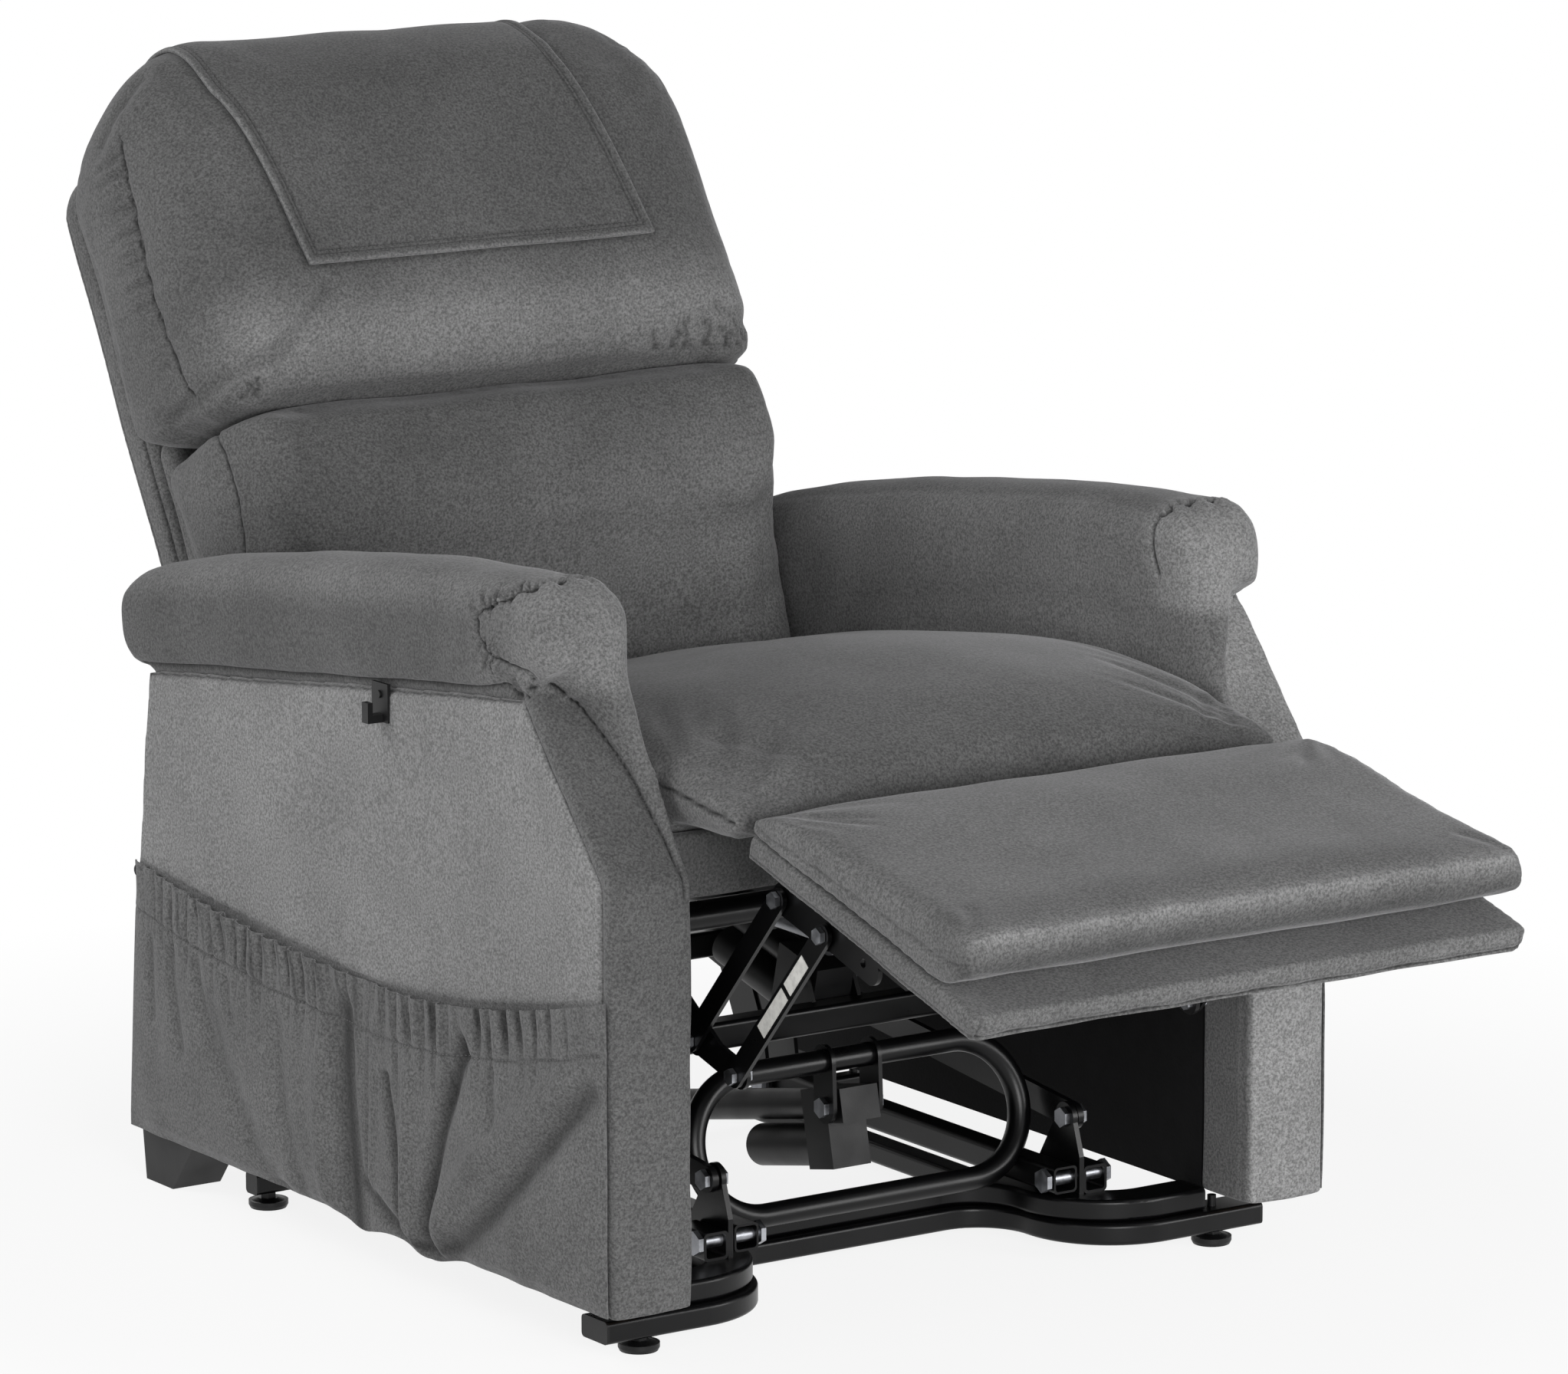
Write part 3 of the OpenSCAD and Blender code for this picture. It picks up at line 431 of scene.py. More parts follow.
def pleated(obj, line, side, spacing=10.0, reach=16.0, deeper=1.0, seed=0.0):
    """Small pleats at right angles to a seam, on the side that the given direction points to."""
    on = laid_on(obj, line)
    along = np.concatenate([[0], np.cumsum(np.linalg.norm(np.diff(on, axis=0), axis=1))]) / MM
    points, out = coords(obj), normals(obj)
    d, j = near(points, on, 2.5 * reach * MM)
    across = ((points - on[j]) @ np.asarray(side, float)) / MM
    s = along[j]
    # two slow waves make the pleats uneven in spacing, a third in depth
    phase = (2 * math.pi * s / spacing + 1.3 * np.sin(s / (1.7 * spacing) + seed)
             + 0.8 * np.sin(s / 41 + seed))
    size_here = 0.65 + 0.35 * np.sin(s / (2.3 * spacing) + 2 * seed)
    fade = bell(d, reach * MM) * np.clip(across / 3 + 0.5, 0, 1) * (d < 2.5 * reach * MM)
    height = size("pleat_depth") * deeper * MM * np.sin(phase) * size_here * fade
    set_coords(obj, points + out * height[:, None])


def uneven(obj, blotch, amount, seed=0.0):
    """Slight unevenness of hand-filled padding."""
    points = coords(obj)
    k = 1 / (blotch * MM)
    lift = np.array([wander.noise(Vector((x * k + seed, y * k, z * k))) for x, y, z in points])
    set_coords(obj, points + normals(obj) * (amount * MM * lift)[:, None])


# ---------- materials ----------
def node(tree, kind, links=None, **settings):
    """Adds a node, sets its properties, and fills its inputs with values or links."""
    made = tree.nodes.new(kind)
    for key, value in settings.items():
        setattr(made, key, value)
    for socket, value in (links or {}).items():
        if isinstance(value, bpy.types.NodeSocket):
            tree.links.new(value, made.inputs[socket])
        else:
            made.inputs[socket].default_value = value
    return made


def object_place(tree):
    return node(tree, "ShaderNodeTexCoord").outputs["Object"]


def new_material(name):
    made = bpy.data.materials.new(name)
    made.use_nodes = True
    made.node_tree.nodes.clear()
    return made


def ramp(tree, value, stops):
    """Turns a value into a colour or grey between the given stops."""
    made = node(tree, "ShaderNodeValToRGB", {0: value})
    line = made.color_ramp
    while len(line.elements) < len(stops):
        line.elements.new(0.5)
    for element, (at, shade) in zip(line.elements, stops):
        element.position = at
        element.color = shade if isinstance(shade, tuple) else (shade, shade, shade, 1)
    return made.outputs[0]


def blotches(tree, at, size_mm, detail=3.0, rough=0.5, distortion=0.0):
    """Noise whose blotches are about the given size on the object."""
    return node(tree, "ShaderNodeTexNoise", {"Vector": at, "Scale": 1000.0 / (2.2 * size_mm),
                "Detail": detail, "Roughness": rough, "Distortion": distortion}).outputs[0]


def dots(tree, at, pitch_mm):
    """Cells at about the given pitch, darkest at their middles."""
    return node(tree, "ShaderNodeTexVoronoi", {"Vector": at, "Scale": 1000.0 / pitch_mm}).outputs[0]


def multiplied(tree, a, b):
    return node(tree, "ShaderNodeMix", {0: 1.0, 6: a, 7: b}, data_type="RGBA",
                blend_type="MULTIPLY").outputs[2]


def surface(tree, bump_from, bump_mm, strength, tone, roughness, **inputs):
    """Principled surface with a bump of real depth, wired to the output."""
    bump = node(tree, "ShaderNodeBump", {"Height": bump_from, "Distance": bump_mm * MM,
                                         "Strength": strength}).outputs[0]
    shader = node(tree, "ShaderNodeBsdfPrincipled", {"Base Color": tone, "Roughness": roughness,
                  "Normal": bump, **{key.replace("_", " "): value for key, value in inputs.items()}})
    node(tree, "ShaderNodeOutputMaterial", {0: shader.outputs[0]})


def brushed_velour(tree, at):
    """Knitted polyester velour, its pile raised by brushing. The short pile gives a fine salt-and-pepper
    melange, drawn at about 2 mm so that it shows, faint random patches where the pile lies another way
    and a pale bloom where the cloth turns away. The attributes of each cover add painted light and
    painted shade, and a near-black painted shade in seams, folds and along edges."""
    grain = blotches(tree, at, 1.1, 2.0, 0.7)
    nap = blotches(tree, at, 60.0, 3.0, 0.5, 0.4)
    hand = blotches(tree, at, 14.0, 2.0, 0.5, 0.8)
    melange = ramp(tree, grain, [(0.35, tint("cloth_deep")), (0.65, tint("cloth_pale"))])
    # faint random patches where the pile lies another way
    lay = ramp(tree, nap, [(0.32, 0.88), (0.68, 1.08)])
    marks = ramp(tree, hand, [(0.34, 0.96), (0.66, 1.03)])
    tone = multiplied(tree, multiplied(tree, melange, lay), marks)
    # painted light and painted shade that each cover carries as an attribute
    painted_light_factor = node(tree, "ShaderNodeAttribute", attribute_name="lay").outputs["Fac"]
    lighter = node(tree, "ShaderNodeMath", {0: painted_light_factor, 1: 1.0}, operation="ADD").outputs[0]
    tone = node(tree, "ShaderNodeVectorMath", {0: tone, "Scale": lighter}, operation="SCALE").outputs[0]
    # painted shade, near black, in seams, folds and along edges
    seam = node(tree, "ShaderNodeAttribute", attribute_name="seam").outputs["Fac"]
    with_painted_shade = node(tree, "ShaderNodeMix", {0: seam, 6: tone, 7: linear("#0b0b0b")}, data_type="RGBA")
    surface(tree, blotches(tree, at, 1.1, 3.0, 0.7), 0.7, 0.45, with_painted_shade.outputs[2], 0.88,
            Specular_IOR_Level=0.22, Sheen_Weight=0.34, Sheen_Roughness=0.38,
            Sheen_Tint=linear("#dcdcde"))


def sewing_thread(tree, at):
    """Bonded polyester thread: a shade paler than the cloth, with the twist of its plies."""
    twist = blotches(tree, at, 0.6, 2.0, 0.6)
    tone = ramp(tree, twist, [(0.3, tint("thread", 0.8)), (0.7, tint("thread", 1.15))])
    surface(tree, twist, 0.2, 0.4, tone, 0.6)


def spunbond_lining(tree, at):
    """Spun-bonded polypropylene lining: flat black with a faint pressed dot and no shine."""
    fleece = blotches(tree, at, 9.0)
    tone = ramp(tree, fleece, [(0.3, tint("lining", 0.8)), (0.7, tint("lining", 1.5))])
    surface(tree, dots(tree, at, 3.0), 0.3, 0.5, tone, 0.9, Specular_IOR_Level=0.2)


def powder_coat(tree, at):
    """Welded steel under baked black powder: soft wide highlights broken by a faint orange peel."""
    dust = blotches(tree, at, 38.0, 4.0, 0.6)
    tone = ramp(tree, dust, [(0.35, tint("steel", 0.85)), (0.75, tint("steel", 1.4))])
    rough = ramp(tree, dust, [(0.3, 0.26), (0.75, 0.38)])
    surface(tree, blotches(tree, at, 2.2, 1.0), 0.12, 0.3, tone, rough, Specular_IOR_Level=0.26)


def zinc_plate(tree, at):
    """Turned steel, bright zinc plated: cool grey metal, dulled in patches by passivation."""
    spangle = blotches(tree, at, 5.0, 4.0, 0.6)
    tone = ramp(tree, spangle, [(0.3, tint("zinc", 0.55)), (0.7, tint("zinc", 0.95))])
    rough = ramp(tree, spangle, [(0.3, 0.3), (0.7, 0.48)])
    surface(tree, blotches(tree, at, 0.8), 0.08, 0.3, tone, rough, Metallic=1.0)


def moulded_plastic(tree, at):
    """Injection-moulded black polypropylene: fine spark-eroded grain that breaks up the highlight."""
    rub = blotches(tree, at, 24.0, 3.0)
    tone = ramp(tree, rub, [(0.35, tint("plastic", 0.8)), (0.75, tint("plastic", 1.35))])
    rough = ramp(tree, rub, [(0.3, 0.38), (0.7, 0.55)])
    surface(tree, blotches(tree, at, 0.7, 2.0, 0.6), 0.15, 0.4, tone, rough, Specular_IOR_Level=0.3)


def planed_beech(tree, at):
    """Planed beech and birch ply: pale, with short darker flecks along the grain."""
    long_way = node(tree, "ShaderNodeMapping", {"Vector": at, "Scale": (1.0, 0.12, 1.0)}).outputs[0]
    fleck = blotches(tree, long_way, 2.5, 4.0, 0.6, 0.8)
    tone = ramp(tree, fleck, [(0.3, tint("timber", 0.72)), (0.7, tint("timber", 1.15))])
    surface(tree, fleck, 0.2, 0.3, tone, 0.62)


def film_ply(tree, at):
    """Birch ply faced with phenolic film: near-black brown, with the print of the press mesh."""
    tone = ramp(tree, blotches(tree, at, 30.0), [(0.3, linear("#17120f")), (0.7, linear("#241c17"))])
    surface(tree, dots(tree, at, 2.0), 0.1, 0.4, tone, 0.5)


def coated_paper(tree, at):
    """Blank coated paper, slightly yellowed and scuffed."""
    scuff = blotches(tree, at, 4.0, 4.0, 0.6)
    tone = ramp(tree, scuff, [(0.3, linear("#c4c3bf")), (0.6, linear("#e6e5e0"))])
    surface(tree, scuff, 0.03, 0.3, tone, 0.5)


# Each finish: the material's name, the function that builds it, and the record's slot; paper has none
FINISH_MAKERS = {"cloth": ("brushed_polyester_velour", brushed_velour, "cloth"),
                 "thread": ("bonded_polyester_thread", sewing_thread, "cloth"),
                 "lining": ("spunbond_polypropylene_lining", spunbond_lining, "lining"),
                 "steel": ("black_powder_coated_steel", powder_coat, "frame_steel"),
                 "zinc": ("zinc_plated_steel", zinc_plate, "zinc_steel"),
                 "plastic": ("moulded_black_polypropylene", moulded_plastic, "black_plastic"),
                 "timber": ("planed_beech", planed_beech, "timber"),
                 "film ply": ("phenolic_faced_plywood", film_ply, "timber"),
                 "paper": ("coated_paper", coated_paper, None)}
# Words in a frame node's name that settle its finish, the first match counting
NODE_FINISH = [("film ply", ("seat_side_rails", "seat_cross_rails")),
               ("timber", ("arm_timbers", "back_board")),
               ("lining", ("seat_webbing", "arm_linings")),
               ("zinc", ("_pins", "hoop_pin", "_rod")),
               ("plastic", ("caps", "motor", "control_box", "hook", "rear_legs", "foot_front",
                            "foot_rear")),
               ("cloth", ("cushion", "pad", "head_cloth", "pocket", "arm_panel", "arm_facings",
                          "back_shell", "footrest_board", "seat_front_board"))]
FINISHES = {}


def painted(obj, finish):
    obj.data.materials.clear()
    obj.data.materials.append(FINISHES[finish])


def make_finishes():
    """Makes every material and gives the frame's own parts theirs."""
    for finish, (name, build, _) in FINISH_MAKERS.items():
        FINISHES[finish] = new_material(name)
        tree = FINISHES[finish].node_tree
        build(tree, object_place(tree))
    for name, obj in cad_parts.items():
        painted(obj, next((f for f, words in NODE_FINISH if any(w in name for w in words)), "steel"))


def dressed(obj, finish="cloth", body="chassis", replaces=(), most=MOST_TRIANGLES):
    """Gives a piece its material, the body that it rides on, and the frame nodes it stands for."""
    thinned(obj, most)
    painted(obj, finish)
    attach(obj, body)
    if replaces:
        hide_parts(*replaces)


# ---------- stitches ----------
def stitch_tree():
    """Geometry nodes that sew small rounded stitches along the edges of a line."""
    tree = bpy.data.node_groups.new("running_stitch", "GeometryNodeTree")
    face = tree.interface
    face.new_socket(name="Line", in_out="INPUT", socket_type="NodeSocketGeometry")
    for name in ("Spacing", "Stitch Length", "Thread"):
        face.new_socket(name=name, in_out="INPUT", socket_type="NodeSocketFloat")
    face.new_socket(name="Finish", in_out="INPUT", socket_type="NodeSocketMaterial")
    face.new_socket(name="Stitches", in_out="OUTPUT", socket_type="NodeSocketGeometry")
    given = node(tree, "NodeGroupInput").outputs
    path = node(tree, "GeometryNodeMeshToCurve", {0: given["Line"]}).outputs[0]
    even = node(tree, "GeometryNodeResampleCurve", {"Curve": path, "Length": given["Spacing"]},
                mode="LENGTH").outputs[0]
    way = node(tree, "GeometryNodeInputTangent").outputs[0]
    turn = node(tree, "FunctionNodeAlignRotationToVector", {"Vector": way}, axis="Z").outputs[0]
    ball = node(tree, "GeometryNodeMeshUVSphere", {"Segments": 6, "Rings": 5, "Radius": 0.5}).outputs[0]
    shape = node(tree, "ShaderNodeCombineXYZ", {0: given["Thread"], 1: given["Thread"],
                                                2: given["Stitch Length"]}).outputs[0]
    stitch = node(tree, "GeometryNodeTransform", {"Geometry": ball, "Scale": shape}).outputs[0]
    sown = node(tree, "GeometryNodeInstanceOnPoints", {"Points": even, "Instance": stitch,
                                                       "Rotation": turn}).outputs[0]
    real = node(tree, "GeometryNodeRealizeInstances", {0: sown}).outputs[0]
    dyed = node(tree, "GeometryNodeSetMaterial", {"Geometry": real, "Material": given["Finish"]})
    node(tree, "NodeGroupOutput", {0: dyed.outputs[0]})
    return tree


def stitched(name, lines, body):
    """One mesh of stitches along placed lines."""
    verts, edges = [], []
    for line in lines:
        start = len(verts)
        verts.extend(line)
        edges.extend((i, i + 1) for i in range(start, len(verts) - 1))
    obj = mesh_object(name, verts, [], edges)
    tree = bpy.data.node_groups.get("running_stitch") or stitch_tree()
    mod = obj.modifiers.new("stitches", "NODES")
    mod.node_group = tree
    wanted = {"Spacing": size("stitch_spacing") * MM, "Stitch Length": size("stitch_length") * MM,
              "Thread": size("thread_size") * MM, "Finish": FINISHES["thread"]}
    for item in tree.interface.items_tree:
        if item.in_out == "INPUT" and item.name in wanted:
            mod[item.identifier] = wanted[item.name]
    obj.update_tag()
    bpy.context.view_layer.update()
    finish_modifiers(obj)
    if len(obj.data.polygons) < 100:
        raise RuntimeError(f"no stitches were made for {name}")
    dressed(obj, "thread", body)
    return obj


# ---------- cushions ----------
def across(width, edge, count, steps=6):
    """Places across a cushion, each with how far round its side edge they are, from 0 to 1."""
    turn = [math.sin(a) for a in np.linspace(math.pi / 2, 0, steps + 1)[:-1]]
    left = [(-(width - edge + edge * s), s) for s in turn]
    flat = [(x, 0.0) for x in np.linspace(-(width - edge), width - edge, count)]
    return left + flat + [(-x, s) for x, s in reversed(left)]


def boxed(name, frame_of, profile, mid, half, width, edge, turn_in, raised=None, count=21):
    """Cushion cover lofted through its side profile. turn_in gives how far the front, back, bottom and
    top are drawn in at the side panels; raised(x, y, z) is how much further up a point lies."""
    front, rear, bottom, top = turn_in
    rings = []
    for x, s in across(width, edge, count):
        k = 1 - math.sqrt(max(0.0, 1 - s * s))
        ring = []
        for y, z in profile:
            u, v = (y - mid[0]) / half[0], (z - mid[1]) / half[1]
            py = y + k * (front * max(0.0, -u) - rear * max(0.0, u))
            pz = z + k * (bottom * max(0.0, -v) - top * max(0.0, v))
            ring.append((x, py, pz + (raised(x, py, pz) if raised else 0)))
        rings.append(frame_of(ring))
    return loft(name, rings)


def filled_profile(points, mid, half, by=2, count=6):
    """Smooth side profile, drawn in a little to leave room for the filling."""
    return closed_curve([(mid[0] + (y - mid[0]) * (1 - by / half[0]),
                          mid[1] + (z - mid[1]) * (1 - by / half[1])) for y, z in points], count)


def stuffed(obj, held_lines, voxel=6.0, share=1.0, pin_width=6.0, pressure=4.0):
    """Fills a closed cover: remeshed evenly, blown up as cloth with its seams held, and never moved
    further than the cushion swell, then made finer."""
    evenly(obj, voxel)
    start = coords(obj)
    held = np.zeros(len(start))
    for line in held_lines:
        d, _ = near(start, spline(line, 2 * MM), 3 * pin_width * MM)
        held = np.maximum(held, bell(d, pin_width * MM))
    frames = bpy.context.scene.recliner_sizes.fill_steps
    group = obj.vertex_groups.new(name="held")
    for i in np.nonzero(held > 0.2)[0]:
        group.add([int(i)], float(min(1.0, held[i] * 2)), "REPLACE")
    cloth = obj.modifiers.new("fill", "CLOTH")
    setup = cloth.settings
    setup.quality, setup.mass = 5, 0.3
    setup.tension_stiffness = setup.compression_stiffness = 15
    setup.shear_stiffness, setup.bending_stiffness = 5, 0.5
    setup.use_pressure, setup.uniform_pressure_force = True, pressure
    setup.effector_weights.gravity = 0
    setup.vertex_group_mass = "held"
    cloth.collision_settings.use_collision = False
    cloth.collision_settings.use_self_collision = False
    cloth.point_cache.frame_start, cloth.point_cache.frame_end = 1, frames
    for f in range(1, frames + 1):
        bpy.context.scene.frame_set(f)
    finish_modifiers(obj)
    obj.vertex_groups.clear()
    bpy.context.scene.frame_set(1)
    moved = coords(obj) - start
    far = np.linalg.norm(moved, axis=1)
    limit = size("cushion_swell") * share * MM * (1 - 0.92 * held)
    # the last part of the way is eased, so that the limit leaves no flat plateau
    eased = limit * np.tanh(far / np.maximum(limit, 1e-9))
    set_coords(obj, start + moved * (eased / np.maximum(far, 1e-9))[:, None])
    subdivided(obj)


SEAT_PROFILE = [(634, 434), (636, 450), (613, 466), (450, 493), (297, 515), (159, 523), (50, 515),
                (-10, 502), (-44, 488), (-55, 472), (-44, 459), (20, 455), (56, 452), (84, 433),
                (300, 431.2), (500, 431.2)]
SEAT_SEAM = [(-46, 474), (-10, 478), (50, 486), (159, 494), (297, 489), (450, 470), (600, 452)]
# Creases of the tongue towards its corners, and shallow hollows behind and on the seat
TONGUE_CREASES = [[(-268, 40, 512), (-240, -6, 497), (-200, -40, 486)],
                  [(-284, 60, 500), (-268, 10, 490), (-236, -36, 478)],
                  [(-230, 60, 524), (-196, 6, 509), (-150, -34, 494)],
                  [(262, 44, 514), (236, -4, 500), (196, -38, 487)],
                  [(282, 70, 500), (262, 14, 490), (240, -30, 480)]]
SEAT_HOLLOWS = [[(-200, 560, 486), (0, 572, 496), (200, 560, 486)],
                [(-120, 300, 540), (-40, 330, 545), (60, 318, 545)]]


def make_seat_cushion():
    """Crowned foam box whose cover runs forward into a tongue over the legrest hinge."""
    mid, half = (290, 478), (350, 46)
    crown = size("seat_crown")

    def raised(x, y, z):
        lift = crown * math.cos(math.pi / 2 * min(1, abs(x) / 288)) ** 1.1
        return lift * max(0, (z - mid[1]) / half[1])

    obj = boxed("seat_cover", place, filled_profile(SEAT_PROFILE, mid, half), mid, half, 285, 24,
                (12, 4, 3, 20), raised)
    seams = both_sides(place, 286, SEAT_SEAM)
    stuffed(obj, seams, share=0.7)
    sewn(obj, seams)
    groove(obj, [place(c) for c in TONGUE_CREASES], 2.6, 9)
    groove(obj, [place(h) for h in SEAT_HOLLOWS], 1.6, 22)
    uneven(obj, 85, 2.2, 3.0)
    # painted light beside the left arm and painted shade elsewhere on the seat
    paint_light_and_shade(obj, -0.18 + 0.4 * smooth_step(-0.12, -0.26, coords(obj)[:, 0]))
    dressed(obj, replaces=("seat_cushion",))


# Directions of the backrest's thickness and height in the model's frame
BACK_WAY = turned([(0, 1, 0)], (0, 0), -BACK_LEAN)[0]
BACK_UP = turned([(0, 0, 1)], (0, 0), -BACK_LEAN)[0]
LUMBAR_PROFILE = [(40, 24), (43, 120), (43, 240), (40, 296), (0, 304), (-80, 302), (-126, 294),
                  (-143, 274), (-144, 220), (-126, 176), (-98, 140), (-66, 80), (-46, 34), (-20, 20)]
LUMBAR_SEAM = [(-68, 300), (-77, 262), (-76, 220), (-64, 176), (-48, 130), (-34, 80), (-26, 34)]
LUMBAR_CREASES = [[(268, -112, 200), (244, -108, 158), (206, -98, 140)],
                  [(-262, -106, 190), (-236, -104, 150), (-190, -96, 132)],
                  [(270, -60, 90), (230, -58, 70), (160, -60, 62)]]


def make_lumbar_cushion():
    """Lower back cushion with a full upper roll that falls away to a waist above the seat."""
    mid, half = (-30, 165), (90, 145)
    obj = boxed("lumbar_cover", on_back, filled_profile(LUMBAR_PROFILE, mid, half), mid, half, 286, 34,
                (64, 4, 4, 8))
    seams = both_sides(on_back, 286, LUMBAR_SEAM)
    stuffed(obj, seams, share=0.8)
    sewn(obj, seams)
    for s, line in zip(SIDES, seams):
        pleated(obj, line, BACK_WAY, 31, 30, 0.6, 2.0 * s)
        pleated(obj, line, -BACK_WAY, 43, 26, 0.5, 4.0 * s)
    groove(obj, [on_back(c) for c in LUMBAR_CREASES], 3.0, 15)
    uneven(obj, 95, 2.6, 5.0)
    # painted light on the lower part, growing towards the right, and faint painted shade elsewhere
    x, z = coords(obj)[:, 0], coords(obj)[:, 2]
    paint_light_and_shade(obj, -0.08 + 1.25 * smooth_step(0.72, 0.52, z) * smooth_step(-0.3, 0.2, x))
    dressed(obj, body="backrest", replaces=("lumbar_cushion",))


HEAD_MID, HEAD_HALF = (-36, 495), (104, 188)
HEAD_PROFILE = [(66, 345), (68, 480), (64, 600), (46, 652), (0, 680), (-48, 684), (-84, 664),
                (-112, 610), (-130, 520), (-138, 440), (-143, 378), (-143, 338), (-134, 312),
                (-108, 303), (0, 308), (44, 318)]
HEAD_SEAM = [(-66, 334), (-56, 376), (-51, 426), (-54, 489), (-57, 545), (-61, 592)]
HEAD_TUCKS = [[(-222, -140, 352), (-262, -120, 338), (-292, -76, 328), (-299, -20, 326)],
              [(-176, -142, 398), (-222, -138, 360), (-262, -122, 340)],
              [(292, -74, 330), (268, -118, 334), (236, -138, 344)],
              [(-296, -20, 600), (-286, -50, 622), (-262, -66, 646)]]
# Gathers at the head cushion's lower corners: how far across each is and how high it runs
HEAD_GATHERS = [(171, 324), (190, 318), (204, 330), (226, 326), (247, 319), (266, 330), (284, 324),
                (-264, 322), (-282, 318)]


def make_head_cushion():
    """Head cushion: a pillow front sewn to boxing at the sides, full at its foot where it laps over the
    lumbar cushion and is gathered into its lower corners."""
    width, corner = 300, 120

    def rounded_off(x, y, z):
        over = abs(x) - width + corner
        drop = corner - math.sqrt(max(0.0, corner * corner - over * over)) if over > 0 else 0.0
        return -drop * max(0, (z - HEAD_MID[1]) / HEAD_HALF[1]) ** 1.3

    obj = boxed("head_cover", on_back, filled_profile(HEAD_PROFILE, HEAD_MID, HEAD_HALF), HEAD_MID,
                HEAD_HALF, 298, 44, (76, 8, 10, 10), rounded_off, count=25)
    seams = both_sides(on_back, 298, HEAD_SEAM)
    stuffed(obj, seams)
    sewn(obj, seams)
    for s, line in zip(SIDES, seams):
        pleated(obj, line, BACK_WAY, 26, 36, 1.7, 1.0 * s)
        pleated(obj, line, -BACK_WAY, 47, 22, 0.35, 3.0 * s)
    for x0, x1, seed in ((290, 110, 0.0), (-290, -200, 1.0)):
        foot = on_back([(x, -139 + 30 * smooth_step(230, 300, abs(x)), 309)
                        for x in np.linspace(x0, x1, 8)])
        pleated(obj, foot, BACK_UP, 31, 12, 1.2, seed)
    # painted shade darkens the tucks and the gathers
    groove(obj, [on_back(t) for t in HEAD_TUCKS], 4.6, 11, 0.22)
    groove(obj, [on_back([(x, -122, 300), (x - 2, -140, 310), (x - 4, -144, z)])
                 for x, z in HEAD_GATHERS], 4.2, 5.5, 0.55)
    bulge = [(-120, -141, 372), (0, -143, 364), (140, -141, 372)]
    groove(obj, [on_back(bulge)], -2.5, 34)
    uneven(obj, 90, 2.6, 8.0)
    # painted light where the cushion is fullest, and faint painted shade elsewhere
    full = spline(on_back([(x, -141, 352) for x in (-250, -80, 100, 280)]), 4 * MM)
    d, _ = near(coords(obj), full, 120 * MM)
    paint_light_and_shade(obj, -0.14 + 0.75 * bell(d, 46 * MM))
    dressed(obj, body="backrest", replaces=("head_cushion",))


# ---------- headrest cloth ----------
# Rows and columns lie closer together in the hems, so that folds and stitches can be shaped there
HEM = np.array([0, 1.2, 2.4, 4, 5.6, 7, 8, 9, 10, 11, 12, 13.2, 15])
STITCH_INSETS = (8.0, 12.0)
CLOTH_COLUMNS, CLOTH_ROWS = 63, 170


def smoothed(points, rounds):
    """Evens out rows of points between their two ends."""
    for _ in range(rounds):
        points[1:-1] = 0.5 * points[1:-1] + 0.25 * (points[:-2] + points[2:])
    return points


def laid_grid(wide):
    """Points of the cloth on the head cushion, from its front hem over the top to its back hem."""
    tree = cloth_tree(bpy.data.objects["head_cover"])
    front_hem, back_hem, over_top = 214.5, 31, math.radians(124)
    reach, shift, drop = 330, 33, 223
    grid = []
    for x in np.linspace(-wide / 2, wide / 2, CLOTH_COLUMNS):
        column = []
        for a in np.radians(np.linspace(front_hem, back_hem, 150)):
            # the cloth lies a little askew: its top is shifted to one side
            rise = 75 - 99 * math.tan(a) if a > over_top else drop
            aside = x - shift * min(1.0, max(0.0, rise / drop))
            far, middle = on_back([(aside, HEAD_MID[0] + reach * math.cos(a),
                                    HEAD_MID[1] + reach * math.sin(a)), (aside, *HEAD_MID)])
            hit = tree.ray_cast(Vector(far), Vector(middle - far).normalized())
            if hit[0] is None:
                raise RuntimeError("the headrest cloth missed its cushion")
            column.append(hit[0] + hit[1] * 2.6 * MM)
        column = np.array(column)
        run = np.concatenate([[0], np.cumsum(np.linalg.norm(np.diff(column, axis=0), axis=1))])
        rows = np.linspace(0, run[-1], CLOTH_ROWS)
        # the cloth bridges small hollows in the cushion
        grid.append(smoothed(np.column_stack([np.interp(rows, run, column[:, k]) for k in range(3)]), 6))
    return smoothed(np.array(grid), 3)


def hemmed(grid, full, count):
    """The grid with rows close together in the hems and the given number of rows between them."""
    flat = grid.reshape(len(grid), -1)
    at = np.linspace(0, full, len(grid))
    places = np.concatenate([HEM, np.linspace(20, full - 20, count), full - HEM[::-1]])
    made = np.column_stack([np.interp(places, at, flat[:, k]) for k in range(flat.shape[1])])
    return made.reshape(len(places), *grid.shape[1:])


def hem_stitches(obj, grid):
    """Lines of the two rows of stitches, lifted onto the finished cloth."""
    tree = cloth_tree(obj)
    middle = on_back([(0, *HEAD_MID)])[0]
    rows = []
    for inset in STITCH_INSETS:
        i = int(np.argmin(abs(HEM - inset)))
        loop = np.vstack([grid[i, i:-i], grid[i:-i, -i - 1], grid[-i - 1, -i - 1:i - 1:-1],
                          grid[-i - 1:i - 1:-1, i]])
        raised = []
        for p in loop:
            away = Vector(p - middle).normalized()
            hit = tree.ray_cast(Vector(p) + away * 0.02, -away)
            raised.append((hit[0] if hit[0] is not None else Vector(p)) + away * 0.1 * MM)
        rows.append(np.array(raised))
    return rows


